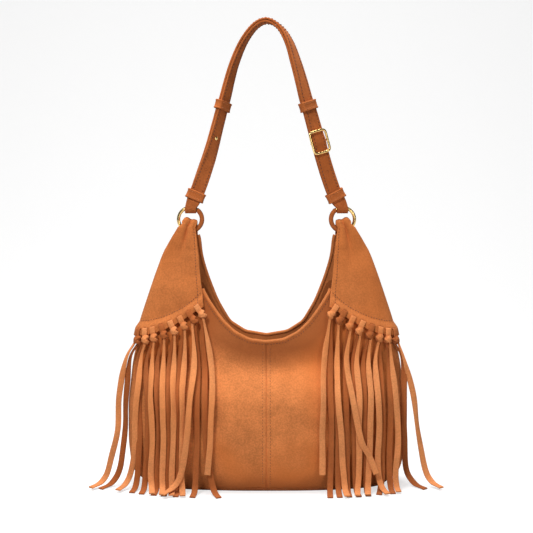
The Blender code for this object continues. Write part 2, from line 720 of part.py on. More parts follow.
def rivet(strap, finish):
    point, along, across, out = strap.at(strap.length_at(-1, RIVET_Z))
    face = PLY_OFFSET + PLY / 2 + 0.3
    profile = ((0.9, -PLY_OFFSET), (0.9, face), (2.4, face), (2.2, face + 0.8),
               (0.8, face + 1.2))
    return lathe("strap_rivet", point, out, across, profile, finish, sides=10)


def slide(strap, finish):
    """The rounded brass frame: the strap runs behind its ends and over its middle bar."""
    point, along, across, out = strap.at(strap.length_at(1, SLIDE_Z))
    half_w, half_l, corner, bar = 11.5, 14.2, 4.5, 1.6
    low = PLY_OFFSET + PLY / 2 + 0.8
    sections = []
    for centre_a, centre_b, first in ((1, 1, 0), (-1, 1, 90), (-1, -1, 180), (1, -1, 270)):
        for angle in (first, first + 30, first + 60, first + 90):
            turn = math.radians(angle)
            radial = across * math.cos(turn) + along * math.sin(turn)
            middle = (point + across * centre_a * (half_w - corner)
                      + along * centre_b * (half_l - corner) + radial * corner
                      + out * (low + 1.4))
            loop = [middle + radial * a * bar + out * b * 1.4 for a, b in
                    ((-1, -0.5), (-0.5, -1), (0.5, -1), (1, -0.5), (1, 0.5), (0.5, 1), (-0.5, 1),
                     (-1, 0.5))]
            sections.append(np.array(loop))
    frame = sweep("slide_frame", sections, finish, tuple(point), closed=True)
    staple = []
    for a, b in ((-half_w, low + 1.2), (-half_w, 0.3), (half_w, 0.3), (half_w, low + 1.2)):
        inward = -math.copysign(1, a)
        grow = np.array([inward, 1.0 if b < 1 else 0.0])
        corner_point = point + across * a + out * b
        shift = across * grow[0] + out * grow[1]
        staple.append(np.array([corner_point - shift - along * 1.1,
                                corner_point + shift - along * 1.1,
                                corner_point + shift + along * 1.1,
                                corner_point - shift + along * 1.1]))
    bar_helper = sweep("slide_bar", staple, None, smooth=False, helper=True)
    unite(frame, bar_helper)
    return frame


def main():
    for old in list(bpy.data.objects):
        bpy.data.objects.remove(old)
    suede = material("suede_body", SUEDE, 0.95)
    dark = material("suede_strap", SUEDE_DARK, 0.95)
    fringe = material("suede_fringe", SUEDE, 0.95)
    brass = material("brass", BRASS, 0.25, 1.0)
    halves = np.array(SIDE_STEPS, float)
    seam = halves.copy()
    seam[0] = 0.001
    body_panel("front_panel_left", -seam[::-1], FRONT_TOP, -1, suede)
    body_panel("front_panel_right", seam, FRONT_TOP, -1, suede)
    whole = np.concatenate([-halves[::-1], halves[1:]])
    body_panel("back_panel", whole, BACK_TOP, 1, suede)
    base_panel(suede)
    rim_bead("front_rim_binding", FRONT_TOP, -1, FRONT_BEAD_END, suede)
    rim_bead("back_rim_binding", BACK_TOP, 1, BACK_BEAD_END, suede)
    for side_name, side, tails in (("left", -1, LEFT_TAILS), ("right", 1, RIGHT_TAILS)):
        yoke("yoke_" + side_name, side, suede)
        ring("ring_" + side_name, side, brass)
        ring_wrap("ring_wrap_" + side_name, side, dark)
        for number, (s, pair) in enumerate(zip(SLOTS, tails), 1):
            thong(f"thong_{side_name}_{number}", side, s, pair, fringe)
    strap = StrapLine()
    pivot = (STRAP_LINE[0][0], 0, STRAP_AXIS_Z)
    strap_plies(strap, dark, pivot)
    for name, z, half_thickness in KEEPERS:
        side = -1 if name.endswith("left") else 1
        keeper(strap, name, side, z, half_thickness, dark)
    ball_stud(strap, brass)
    rivet(strap, brass)
    slide(strap, brass)


main()
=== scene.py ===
"""Looks of the fringed suede shoulder bag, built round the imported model. The tables are in
millimetres and repeat the part's own shape; MM turns them into metres when a mesh is made."""

import math

import bmesh
import bpy
import numpy as np
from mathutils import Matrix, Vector, noise


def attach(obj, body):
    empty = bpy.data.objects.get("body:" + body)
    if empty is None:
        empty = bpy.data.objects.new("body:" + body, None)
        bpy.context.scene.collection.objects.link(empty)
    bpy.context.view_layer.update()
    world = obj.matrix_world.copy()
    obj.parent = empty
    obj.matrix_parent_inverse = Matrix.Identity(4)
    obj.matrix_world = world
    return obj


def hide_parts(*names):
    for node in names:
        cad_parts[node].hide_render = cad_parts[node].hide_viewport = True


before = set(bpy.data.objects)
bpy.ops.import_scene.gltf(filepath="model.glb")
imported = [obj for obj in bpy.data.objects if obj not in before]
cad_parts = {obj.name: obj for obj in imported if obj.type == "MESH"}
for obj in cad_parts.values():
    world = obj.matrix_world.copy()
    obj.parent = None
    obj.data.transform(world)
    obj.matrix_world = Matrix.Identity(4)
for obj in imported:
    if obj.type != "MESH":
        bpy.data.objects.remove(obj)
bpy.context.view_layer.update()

MM = 0.001

# ---------------------------------------------------------------- shape tables of the part

HALF_WIDTH = ((0, 148), (5, 158), (12, 169), (25, 176.5), (57, 180), (110, 180), (160, 174.5),
              (208, 164.5), (227, 158.5), (270, 144), (300, 133), (322, 122), (336, 115))
HALF_DEPTH = ((0, 43), (12, 52), (25, 58), (60, 64), (100, 62), (120, 57), (140, 45),
              (156, 33), (170, 30), (191, 31), (230, 25), (262, 20), (300, 11), (322, 8), (336, 7))
OUTLINE_POWER = 2.4
FRONT_TOP = ((0, 191), (0.13, 193.5), (0.247, 203), (0.345, 217), (0.47, 240), (0.555, 257),
             (0.58, 267), (0.65, 297), (0.69, 309), (0.75, 311), (1, 311))
BACK_TOP = ((0, 194), (0.17, 199), (0.3, 212.5), (0.42, 240), (0.53, 270), (0.6, 289),
            (0.66, 306), (0.715, 322), (0.76, 330), (0.85, 328), (1, 324))
BASE_TOP = 4.8
BEAD_HEIGHT = 4.0
FRONT_BEAD_END = 0.555
BACK_BEAD_END = 0.745
YOKE_GAP = 0.5
YOKE_THICKNESS = 2.0
YOKE_INNER = ((234, 0.515), (241, 0.53), (257, 0.562), (267, 0.585), (297, 0.655), (315, 0.715),
              (322, 0.745))
BAND_EDGE = ((0.515, 235), (0.62, 221.7), (0.687, 213.6), (0.767, 206.3), (0.85, 200.5),
             (0.93, 197), (1, 195.5))
BAND_STANDOFF = 3.6
BAND_DEPTH = 13.0
SLOT_RISE = 7.7
SLOT_WIDTH = 7.6
SLOT_HEIGHT = 3.2
TIP_START = 306.0
RING_X = 99.0
RING_Z = 345.5
RING_RADIUS = 15.25
WIRE_RADIUS = 2.2
STRAP_AXIS_Z = 359.8
STRAP_LINE = ((-98.5, 0, 359.8), (-95, 0, 369), (-88, 1, 386), (-79.5, 3, 411), (-72, 6, 435),
              (-59.3, 10, 484), (-53.5, 11, 505), (-47.5, 11, 529), (-41, 9, 550),
              (-31.5, 6, 572), (-21, 3, 588), (-10.5, 1, 598), (0, 0, 601.5), (10.5, -1, 598),
              (21, -3, 588), (30, -6, 571), (36.5, -9, 551), (43.5, -11, 527), (50.5, -11, 500),
              (56, -10, 483), (71, -6, 430), (79, -3, 404), (88, -1, 379), (94.5, 0, 368),
              (98.5, 0, 359.8))
STRAP_TURN = ((0, 90), (0.04, 87), (0.1, 66), (0.14, 52), (0.19, 42), (0.27, 36), (0.36, 25),
              (0.5, 8), (0.64, 40), (0.78, 62), (0.95, 86), (1, 90))
STRAP_STEPS = 72
STRAP_WIDTH = 19.0
FOLD_WIDTH = 14.6
PLY = 2.8
FOLD_OFFSET = 5.3
PLY_OFFSET = 1.6
KEEPER_LENGTH = 12.0
KEEPER_WALL = 2.2
KEEPERS = (("upper_left", 493.0, 4.0), ("lower_left", 376.0, 5.6), ("upper_right", 491.0, 4.0),
           ("lower_right", 376.0, 6.2))
LEFT_HOLE_Z = 410.0
RIGHT_HOLE_Z = 407.0
UPPER_HOLE_Z = 497.0
STUD_Z = 451.0
RIVET_Z = 424.0
SLIDE_Z = 445.0
SLIDE_BULGE = 1.6
SLOTS = (0.575, 0.632, 0.692, 0.756, 0.821, 0.881, 0.932, 0.974)
THONG_WIDTH = 6.4
LACE_WIDTH = 7.6
KNOT_SIZE = (9.6, 7.0, 9.4)
LOOP_DROP = 1.5
THONG_THICKNESS = 1.6
TAIL_POINTS = 22
TAIL_HEIGHTS = (165, 120, 70, 25)
TAIL_LEAD = 15.0
LEFT_TAILS = (
    ((-70, -69, -70, -72, -74, 1, 26), (-79, -78, -77, -71, -59, 0, 1)),
    ((-91, -95, -100, -108, -129, 2, 1), (-88, -87, -87, -89, -92, 0, 1)),
    ((-104, -105, -106, -107, -104, 1, 1), (-110, -112, -112, -111, -113, 0, 1)),
    ((-117, -117, -118, -119, -118, 1, 1), (-124, -125, -125, -126, -128, 0, 1)),
    ((-131, -131, -131, -131, -130, 1, 1), (-139, -138, -136, -138, -141, 0, 1)),
    ((-146, -146, -146, -147, -143, 1, 1), (-153, -153, -152, -154, -157, 0, 1)),
    ((-161, -164, -168, -174, -188, 1, 1), (-166, -164, -163, -165, -170, 0, 1)),
    ((-181, -189, -193, -203, -224, 1, 1), (-176, -180, -184, -190, -212, 0, 1)),
)
RIGHT_TAILS = (
    ((74, 71, 70, 70, 70, 1, 26), (81, 81, 81, 80, 79, 0, 1)),
    ((90, 91, 94, 97, 100, 1, 1), (90, 90, 90, 90, 91, 0, 1)),
    ((102, 109, 118, 129, 138, 2, 26), (100, 100, 100, 101, 103, 0, 1)),
    ((115, 116, 116, 116, 113, 1, 1), (110, 111, 112, 112, 115, 0, 1)),
    ((130, 131, 131, 129, 126, 1, 1), (124, 125, 125, 126, 127, 0, 1)),
    ((139, 141, 142, 142, 151, 1, 1), (146, 146, 147, 147, 141, 0, 1)),
    ((160, 164, 167, 164, 166, 1, 1), (157, 158, 158, 157, 159, 0, 1)),
    ((177, 189, 196, 204, 223, 1, 1), (175, 177, 178, 181, 203, 0, 1)),
)

# ---------------------------------------------------------------- finishes


class Value:
    """A socket of a material's nodes that takes part in arithmetic."""

    def __init__(self, made, socket):
        self.made, self.socket = made, socket

    def math(self, operation, other=None, swap=False):
        first, second = (other, self) if swap else (self, other)
        values = [first] if second is None else [first, second]
        return self.made.node("ShaderNodeMath", {"operation": operation}, values)

    def __add__(self, other):
        return self.math("ADD", other)

    def __sub__(self, other):
        return self.math("SUBTRACT", other)

    def __mul__(self, other):
        return self.math("MULTIPLY", other)

    def __truediv__(self, other):
        return self.math("DIVIDE", other)

    def __rsub__(self, other):
        return self.math("SUBTRACT", other, swap=True)

    __radd__ = __add__
    __rmul__ = __mul__

    def clamp(self):
        return self.math("MULTIPLY_ADD", 1.0).clamped()

    def clamped(self):
        self.socket.node.use_clamp = True
        return self

    def step(self, low, high):
        """0 below low, 1 above high, smooth between them."""
        return self.made.node("ShaderNodeMapRange", {"interpolation_type": "SMOOTHSTEP"},
                              [self, low, high, 0.0, 1.0])


class Finish:
    """A material with one Principled shader, built from expressions."""

    def __init__(self, name, roughness, **constants):
        self.material = bpy.data.materials.new(name)
        self.material.use_nodes = True
        self.tree = self.material.node_tree
        self.shader = self.tree.nodes["Principled BSDF"]
        self.shader.inputs["Roughness"].default_value = roughness
        for socket, value in constants.items():
            self.shader.inputs[socket.replace("_", " ")].default_value = value

    def node(self, kind, settings=None, values=(), output=0):
        made = self.tree.nodes.new(kind)
        for key, value in (settings or {}).items():
            if key == "stops":
                self.stops(made.color_ramp, value)
            else:
                setattr(made, key, value)
        pairs = values.items() if isinstance(values, dict) else enumerate(values)
        for key, value in pairs:
            if isinstance(value, Value):
                self.tree.links.new(value.socket, made.inputs[key])
            elif value is not None:
                made.inputs[key].default_value = value
        return Value(self, made.outputs[output])

    @staticmethod
    def stops(ramp, stops):
        while len(ramp.elements) < len(stops):
            ramp.elements.new(1.0)
        for element, (position, colour) in zip(ramp.elements, stops):
            element.position = position
            element.color = (*colour, 1.0) if len(colour) == 3 else colour

    def place(self):
        return self.node("ShaderNodeTexCoord", output="Object")

    def noise(self, place, scale, detail=3.0, roughness=0.5, distortion=0.0):
        return self.node("ShaderNodeTexNoise", None,
                         {"Vector": place, "Scale": scale, "Detail": detail,
                          "Roughness": roughness, "Distortion": distortion}, output="Fac")

    def mix(self, share, first, second):
        return self.node("ShaderNodeMix", {"data_type": "RGBA"},
                         {0: share, 6: first, 7: second}, output=2)

    def feed(self, socket, value):
        self.tree.links.new(value.socket, self.shader.inputs[socket])

    def bump(self, height, strength, distance):
        normal = self.node("ShaderNodeBump", None,
                           {"Strength": strength, "Distance": distance, "Height": height},
                           output="Normal")
        self.feed("Normal", normal)


def rgba(colour, scale=1.0):
    return (*(c * scale for c in colour), 1.0)


def suede(name, colour, mottle=1.0, dark=0.68, light=1.20, nap=1.0, seed=0.0, warm=0.35):
    """Napped suede: patches of differently laid nap, fine grain, soft fibre bump and a velvet edge,
    darkened where a vertex attribute paints shade.
    """
    made = Finish(name, 0.95, Sheen_Weight=0.12, Sheen_Roughness=0.55,
                  Sheen_Tint=rgba((1.0, 0.62, 0.36)), Specular_IOR_Level=0.12)
    place = made.node("ShaderNodeVectorMath", {"operation": "ADD"},
                      [made.place(), (seed, seed * 0.7, seed * 1.3)])
    broad = made.noise(place, 16.0, 3.0, 0.55, 0.6)
    patch = made.noise(place, 55.0, 4.0, 0.6, 0.4)
    grain = made.noise(place, 480.0, 4.0, 0.65)
    fibre = made.noise(place, 1500.0, 2.0, 0.6)
    share = broad.step(0.32, 0.68) * 0.34 + patch.step(0.30, 0.70) * 0.26
    share = share + grain.step(0.34, 0.66) * 0.40
    colours = made.mix(((share - 0.5) * mottle + 0.5).clamped(), rgba(colour, dark),
                       rgba(colour, light))
    cast = made.noise(place, 6.5, 2.0, 0.5, 0.3).step(0.42, 0.62) * warm
    colours = made.mix(cast, colours, rgba((colour[0], colour[1] * 0.84, colour[2] * 0.62)))
    # Painted shade: the vertex attribute mixes in a darker copy of the colour, standing in for shadow
    # under the mouth's rim and towards the bottom.
    brushed = made.node("ShaderNodeAttribute", {"attribute_name": "brushed"}, output="Fac")
    colours = made.mix(brushed, colours, rgba((colour[0] * 0.50, colour[1] * 0.42,
                                               colour[2] * 0.38)))
    made.feed("Base Color", colours)
    made.bump(patch * 0.5 + grain * 0.9 + fibre * 0.5, 0.34 * nap, 0.0007)
    return made.material


def brass():
    """Lacquered brass with faint brushing and duller handled spots."""
    made = Finish("brass_polished", 0.22, Metallic=1.0)
    place = made.place()
    worn = made.noise(place, 160.0, 3.0, 0.6)
    fine = made.noise(place, 900.0, 2.0, 0.5)
    made.feed("Base Color", made.mix(worn.step(0.35, 0.7), rgba((0.74, 0.47, 0.16)),
                                     rgba((0.92, 0.66, 0.28))))
    made.feed("Roughness", fine * 0.10 + worn * 0.14 + 0.10)
    made.bump(fine, 0.06, 0.0003)
    return made.material


def thread(name, colour):
    made = Finish(name, 0.7, Sheen_Weight=0.2, Specular_IOR_Level=0.3)
    twist = made.noise(made.place(), 1800.0, 2.0, 0.5)
    made.feed("Base Color", made.mix(twist, rgba(colour, 0.8), rgba(colour, 1.15)))
    made.bump(twist, 0.2, 0.0003)
    return made.material


BODY = suede("suede_body", (0.660, 0.214, 0.064), mottle=1.15, warm=0.75)
YOKE = suede("suede_ear", (0.600, 0.184, 0.050), seed=1.7)
# Painted shade: a dark suede for the inside facing of the front mouth and for the strap's punched holes,
# where shade falls.
PAINTED_SHADE_SUEDE = suede("suede_painted_shade_dark", (0.300, 0.085, 0.026), seed=2.3)
EDGE = suede("suede_turned_edge", (0.640, 0.205, 0.062), mottle=0.7, seed=3.1)
# Painted shade: the base is a dark suede, standing in for the shadow along the floor.
BASE = suede("suede_base_painted_shade", (0.300, 0.085, 0.026), seed=4.4)
STRAP = suede("suede_strap", (0.470, 0.130, 0.034), seed=5.2)
STRAP_TRIM = suede("suede_keeper", (0.500, 0.140, 0.037), seed=6.1)
# Thong suede in three tones: the first plain, the second a darker copy in painted shade for the back
# layer of tails, the third a lighter copy in painted light for the front layers.
FRINGE_LIT_AND_SHADED = [suede(f"suede_thong_{i}", colour, mottle=0.8, seed=7.0 + i) for i, colour in
          enumerate(((0.660, 0.220, 0.070), (0.420, 0.120, 0.034), (0.760, 0.280, 0.100)))]
THREAD = thread("thread_tan", (0.150, 0.042, 0.014))
THREAD_LIGHT = thread("thread_light", (0.560, 0.200, 0.070))
BRASS = brass()

# ---------------------------------------------------------------- making meshes


def curve_value(table, at):
    keys = np.array([row[0] for row in table], float)
    values = np.array([row[1] for row in table], float)
    spread = 0.02 * (keys[-1] - keys[0])
    return float(np.mean([np.interp(at + d * spread, keys, values) for d in (-1, -0.5, 0, 0.5, 1)]))


def unit(vector):
    return vector / max(np.linalg.norm(vector), 1e-9)


def bag_point(s, z, depth_sign, extra=0.0):
    across = min(abs(s), 1.0)
    depth = (1 - across**OUTLINE_POWER) ** (1 / OUTLINE_POWER)
    y = 0.15 + depth * curve_value(HALF_DEPTH, z) + extra
    return np.array([s * curve_value(HALF_WIDTH, z), depth_sign * y, z])


def bag_normal(s, z, depth_sign):
    step = 0.004
    a = bag_point(min(s + step, 1), z, depth_sign) - bag_point(max(s - step, -1), z, depth_sign)
    b = bag_point(s, z + 1, depth_sign) - bag_point(s, z - 1, depth_sign)
    normal = unit(np.cross(a, b))
    return normal if normal[1] * depth_sign > 0 else -normal


def make_piece(name, points, faces, finish, body, slot, replaced=(), smooth=True, angle=50):
    """A piece of the bag from points in millimetres."""
    mesh = bpy.data.meshes.new(name)
    mesh.from_pydata([tuple(float(v) * MM for v in p) for p in points], [],
                     [tuple(int(i) for i in f) for f in faces])
    work = bmesh.new()
    work.from_mesh(mesh)
    bmesh.ops.remove_doubles(work, verts=work.verts, dist=1e-6)
    bmesh.ops.recalc_face_normals(work, faces=work.faces)
    work.to_mesh(mesh)
    work.free()
    if smooth:
        mesh.shade_smooth()
        mesh.set_sharp_from_angle(angle=math.radians(angle))
    made = bpy.data.objects.new(name, mesh)
    bpy.context.scene.collection.objects.link(made)
    mesh.materials.append(finish)
    if body:
        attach(made, body)
    if replaced:
        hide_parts(*replaced)
    return made


def normals_of(grid, outward):
    """Unit normals of a grid of points, on the side that `outward` points to."""
    normal = np.cross(np.gradient(grid, axis=0), np.gradient(grid, axis=1))
    normal /= np.maximum(np.linalg.norm(normal, axis=2, keepdims=True), 1e-9)
    flip = np.sign((normal * outward).sum(axis=2).mean()) or 1
    return normal * flip


def shell_mesh(outer, inner, rounding=2):
    """Points and faces of a sheet whose edges are rounded between its two grids."""
    rows, columns = outer.shape[:2]
    points = [outer.reshape(-1, 3), inner.reshape(-1, 3)]
    back = rows * columns
    faces = []
    for r in range(rows - 1):
        for c in range(columns - 1):
            a = r * columns + c
            faces.append((a, a + 1, a + columns + 1, a + columns))
            faces.append((back + a, back + a + columns, back + a + columns + 1, back + a + 1))
    rim = [(0, c) for c in range(columns)]
    rim += [(r, columns - 1) for r in range(1, rows)]
    rim += [(rows - 1, c) for c in range(columns - 2, -1, -1)]
    rim += [(r, 0) for r in range(rows - 2, 0, -1)]
    centre = outer.reshape(-1, 3).mean(axis=0)
    rings = [[r * columns + c for r, c in rim]]
    first = 2 * back
    for k in range(1, rounding + 1):
        share = k / (rounding + 1)
        row = []
        for r, c in rim:
            a, b = outer[r, c], inner[r, c]
            inside = outer[min(max(r, 1), rows - 2), min(max(c, 1), columns - 2)]
            away = unit(a - inside) if np.linalg.norm(a - inside) > 1e-6 else unit(a - centre)
            bulge = math.sin(math.pi * share) * np.linalg.norm(a - b) * 0.35
            row.append(a * (1 - share) + b * share + away * bulge)
        points.append(np.array(row))
        rings.append(list(range(first, first + len(rim))))
        first += len(rim)
    rings.append([back + r * columns + c for r, c in rim])
    for low, high in zip(rings, rings[1:]):
        for i in range(len(rim)):
            n = (i + 1) % len(rim)
            faces.append((low[n], low[i], high[i], high[n]))
    return np.concatenate(points), faces


def swept_mesh(sections, closed=False):
    sections = [np.asarray(s) for s in sections]
    count = len(sections[0])
    faces = []
    last = len(sections) if closed else len(sections) - 1
    for i in range(last):
        first, second = i * count, ((i + 1) % len(sections)) * count
        for k in range(count):
            n = (k + 1) % count
            faces.append((first + k, first + n, second + n, second + k))
    if not closed:
        faces.append(tuple(range(count - 1, -1, -1)))
        faces.append(tuple(range((len(sections) - 1) * count, len(sections) * count)))
    return np.concatenate(sections), faces


def joined(*meshes):
    points, faces, first = [], [], 0
    for some_points, some_faces in meshes:
        points.append(np.asarray(some_points, float))
        faces += [tuple(first + i for i in f) for f in some_faces]
        first += len(some_points)
    return np.concatenate(points), faces


def rounded_loop(width, thickness, roundness=0.9, steps=4):
    """(across, out) pairs round a flat section with rounded edges, edge points first."""
    radius = thickness / 2 * roundness
    loop = []
    for a, b, first in ((1, 1, 0), (-1, 1, 90), (-1, -1, 180), (1, -1, 270)):
        for angle in np.linspace(first, first + 90, steps):
            turn = math.radians(angle)
            loop.append((a * (width / 2 - radius) + radius * math.cos(turn),
                         b * (thickness / 2 - radius) + radius * math.sin(turn)))
    return loop


def stitch_row(line, normals, pitch, length, radius, start=0.5, sink=0.25, slant=0.0):
    """Small rounded thread stitches along a line that lies on a surface."""
    line = np.asarray(line, float)
    steps = np.linalg.norm(np.diff(line, axis=0), axis=1)
    run = np.concatenate([[0], np.cumsum(steps)])
    meshes = []
    for at in np.arange(pitch * start, run[-1] - length / 2, pitch):
        point = np.array([np.interp(at, run, line[:, k]) for k in range(3)])
        ahead = np.array([np.interp(min(at + 0.4, run[-1]), run, line[:, k]) for k in range(3)])
        behind = np.array([np.interp(max(at - 0.4, 0), run, line[:, k]) for k in range(3)])
        normal = unit(np.array([np.interp(at, run, normals[:, k]) for k in range(3)]))
        along = unit(ahead - behind)
        side = unit(np.cross(normal, along))
        along = unit(along + side * slant)
        side = unit(np.cross(normal, along))
        sections = []
        for t in (-1.0, -0.8, -0.3, 0.3, 0.8, 1.0):
            size = radius * math.sqrt(max(1 - t * t, 0.02))
            arch = (1 - t * t) * radius * 0.9 - sink
            centre = point + along * t * length / 2 + normal * arch
            sections.append(np.array([centre + (side * math.cos(a) + normal * math.sin(a)) * size
                                      for a in np.linspace(0, 2 * math.pi, 6, endpoint=False)]))
        meshes.append(swept_mesh(sections))
    return meshes


def ripple(x, z, seed, size=1.0):
    """Soft, uneven folds of slack suede, about -1 to 1."""
    value = noise.noise(Vector((x * 0.011 + seed, z * 0.016, seed)))
    value += 0.45 * noise.noise(Vector((x * 0.03, z * 0.035 + seed, seed * 2)))
    return value * size


# ---------------------------------------------------------------- body


def rim_line(top_table, depth_sign, end, count):
    line = []
    for s in np.linspace(-end, end, count):
        line.append(bag_point(s, curve_value(top_table, abs(s)), depth_sign))
    return np.array(line)


def panel_sag(x, z, s, depth_sign):
    """How far the slack suede stands from the plain loft, outwards, in millimetres."""
    top = curve_value(FRONT_TOP if depth_sign < 0 else BACK_TOP, abs(s))
    free = np.clip((top - z) / 45, 0, 1) * np.clip(z / 40, 0, 1)
    pull = 0.0
    for centre_s, slope, width, size in ((0.30, 0.9, 10, 1.5), (0.52, 1.25, 12, -1.7),
                                         (0.74, 1.6, 13, 1.5), (0.12, 0.55, 9, -0.9)):
        side = 1 if s >= 0 else -1
        along = (x * side) - centre_s * 150 - (top - z) * 0.12 * slope
        pull += size * math.exp(-(along / width) ** 2) * np.clip(1 - (top - z) / 150, 0, 1)
    low = 1.1 * math.exp(-((z - 12) / 9) ** 2) * math.sin(x * 0.085 + depth_sign)
    return free * (ripple(x, z, 3.0 + depth_sign, 2.2) + pull) + low


def edge_inset(top_table, inset):
    """The panel's edge that lies `inset` inside the mouth's edge, as (share, height)."""
    rim = rim_line(top_table, 1, 1, 161)[:, [0, 2]]
    run = np.gradient(rim, axis=0)
    run /= np.linalg.norm(run, axis=1, keepdims=True)
    moved = rim + np.stack([run[:, 1], -run[:, 0]], axis=1) * inset
    share = np.array([x / curve_value(HALF_WIDTH, z) for x, z in moved])
    keep = share >= 0
    return share[keep], moved[keep, 1]


def body_panel(name, sides, top_table, depth_sign, seam, replaced):
    share, heights = edge_inset(top_table, 2.4)
    rows = 64
    grid = np.zeros((rows, len(sides), 3))
    for c, s in enumerate(sides):
        top = np.interp(abs(s), share, heights)
        for r in range(rows):
            z = BASE_TOP - 1.6 + (top - BASE_TOP + 1.6) * r / (rows - 1)
            point = bag_point(s, z, depth_sign)
            push = panel_sag(point[0], z, s, depth_sign)
            if seam:
                from_seam = abs(point[0])
                push += 0.45 * math.exp(-((from_seam - 3.0) / 2.0) ** 2)
                push -= 0.8 * math.exp(-(from_seam / 0.9) ** 2)
            fade = np.clip((1 - abs(s)) / 0.05, 0, 1)
            grid[r, c] = point + bag_normal(s, z, depth_sign) * push * fade
    normal = normals_of(grid, np.array([0, depth_sign, 0]))
    inner = grid - normal * 1.8
    limit = depth_sign * np.maximum(depth_sign * inner[:, :, 1], 0.1)
    inner[:, :, 1] = limit
    points, faces = shell_mesh(grid, inner)
    piece = make_piece(name, points, faces, BODY, "bag", "suede_body", replaced)
    # Painted shade: darkest in a band just under the mouth's rim, where the rim's shadow falls, fading
    # out about 46 mm below it, and darker again towards the bottom.
    brushed = piece.data.attributes.new("brushed", "FLOAT", "POINT")
    rim_points = rim_line(top_table, depth_sign, 0.9, 61)[:, [0, 2]]
    for vertex, value in zip(piece.data.vertices, brushed.data):
        x, z = vertex.co.x / MM, vertex.co.z / MM
        below = np.hypot(rim_points[:, 0] - x, rim_points[:, 1] - z).min()
        below += 7 * noise.noise(Vector((x * 0.02, z * 0.02, 4.0)))
        value.value = float(0.75 * np.clip((46 - below) / 24, 0, 1) ** 1.3
                            + 0.35 * np.clip((26 - z) / 26, 0, 1))
    return piece, grid, normal


def body():
    halves = np.concatenate([[0.0, 0.004, 0.008, 0.013, 0.019, 0.027, 0.036], np.linspace(0.05, 0.9, 40),
                             [0.92, 0.94, 0.955, 0.968, 0.978, 0.986, 0.992, 0.996, 1.0]])
    for side_name, sides in (("left", -halves[::-1]), ("right", halves)):
        _, grid, normal = body_panel("front_" + side_name, sides, FRONT_TOP, -1, True,
                                     ("front_panel_" + side_name,))
        column = len(sides) - 6 if side_name == "left" else 5
        line = grid[2:-2, column]
        stitches = joined(*stitch_row(line, normal[2:-2, column], 3.9, 1.9, 0.30, sink=0.05))
        make_piece("seam_stitches_" + side_name, *stitches, THREAD, "bag", "suede_body")
    whole = np.concatenate([-halves[:0:-1], halves])
    body_panel("back", whole, BACK_TOP, 1, False, ("back_panel",))


def facing(name, top_table, depth_sign, end, drop, finish, gap):
    """The band turned to the inside of the mouth, with a row of stitches near its lower edge."""
    columns = 141
    rows = 7
    grid = np.zeros((rows, columns, 3))
    rim = rim_line(top_table, depth_sign, end, columns)
    run = np.gradient(rim, axis=0)
    run /= np.linalg.norm(run, axis=1, keepdims=True)
    for c in range(columns):
        inward = np.array([run[c, 2], 0, -run[c, 0]])
        inward = unit(inward)
        for r in range(rows):
            reach = 2.0 + (drop - 2.0) * r / (rows - 1)
            point = rim[c] + inward * reach
            s = np.clip(point[0] / curve_value(HALF_WIDTH, point[2]), -1, 1)
            surface = bag_point(s, point[2], depth_sign)
            sag = 0.3 * math.sin(c * 0.32) * r / rows
            grid[r, c] = surface + np.array([0, -depth_sign * (2.1 + gap + sag), 0])
    normal = normals_of(grid, np.array([0, -depth_sign, 0]))
    points, faces = shell_mesh(grid, grid - normal * 1.0, rounding=1)
    make_piece(name, points, faces, finish, "bag", "suede_body")
    row = rows - 2
    stitches = stitch_row(grid[row], normal[row], 3.6, 2.2, 0.4, sink=0.1)
    make_piece(name + "_stitches", *joined(*stitches), THREAD, "bag", "suede_body")


def rim(name, top_table, depth_sign, end, replaced):
    """The rolled edge of the mouth, pinched a little at each stitch."""
    count = 260
    line = rim_line(top_table, depth_sign, end, count)
    line[:, 1] -= depth_sign * 1.2
    line[:, 2] -= BEAD_HEIGHT / 2
    run = np.gradient(line, axis=0)
    run /= np.linalg.norm(run, axis=1, keepdims=True)
    length = np.concatenate([[0], np.cumsum(np.linalg.norm(np.diff(line, axis=0), axis=1))])
    sections, below, below_normal = [], [], []
    for i, (point, along) in enumerate(zip(line, run)):
        out = unit(np.array([0, 1.0, 0]) - along * along[1])
        up = np.cross(out, along)
        if up[2] < 0:
            up = -up
        pinch = 1 - 0.05 * (0.5 + 0.5 * math.cos(2 * math.pi * length[i] / 3.8))
        wave = 0.35 * noise.noise(Vector((length[i] * 0.05, 1.0, depth_sign)))
        section = []
        for turn in np.linspace(0, 2 * math.pi, 16, endpoint=False):
            wide = 2.35 * pinch if math.sin(turn) < 0.3 else 2.2
            section.append(point + out * (math.cos(turn) * wide + wave)
                           + up * math.sin(turn) * 2.3)
        sections.append(np.array(section))
        s = np.clip((point - up * 3.7)[0] / curve_value(HALF_WIDTH, point[2] - 4), -1, 1)
        place = bag_point(s, (point - up * 3.7)[2], depth_sign)
        sag = panel_sag(place[0], place[2], s, depth_sign)
        normal = bag_normal(s, place[2], depth_sign)
        below.append(place + normal * sag)
        below_normal.append(normal)
    make_piece(name, *swept_mesh(sections), EDGE, "bag", "suede_body", replaced)
    stitches = stitch_row(below, np.array(below_normal), 3.8, 2.2, 0.42, sink=0.05)
    make_piece(name + "_stitches", *joined(*stitches), THREAD, "bag", "suede_body")


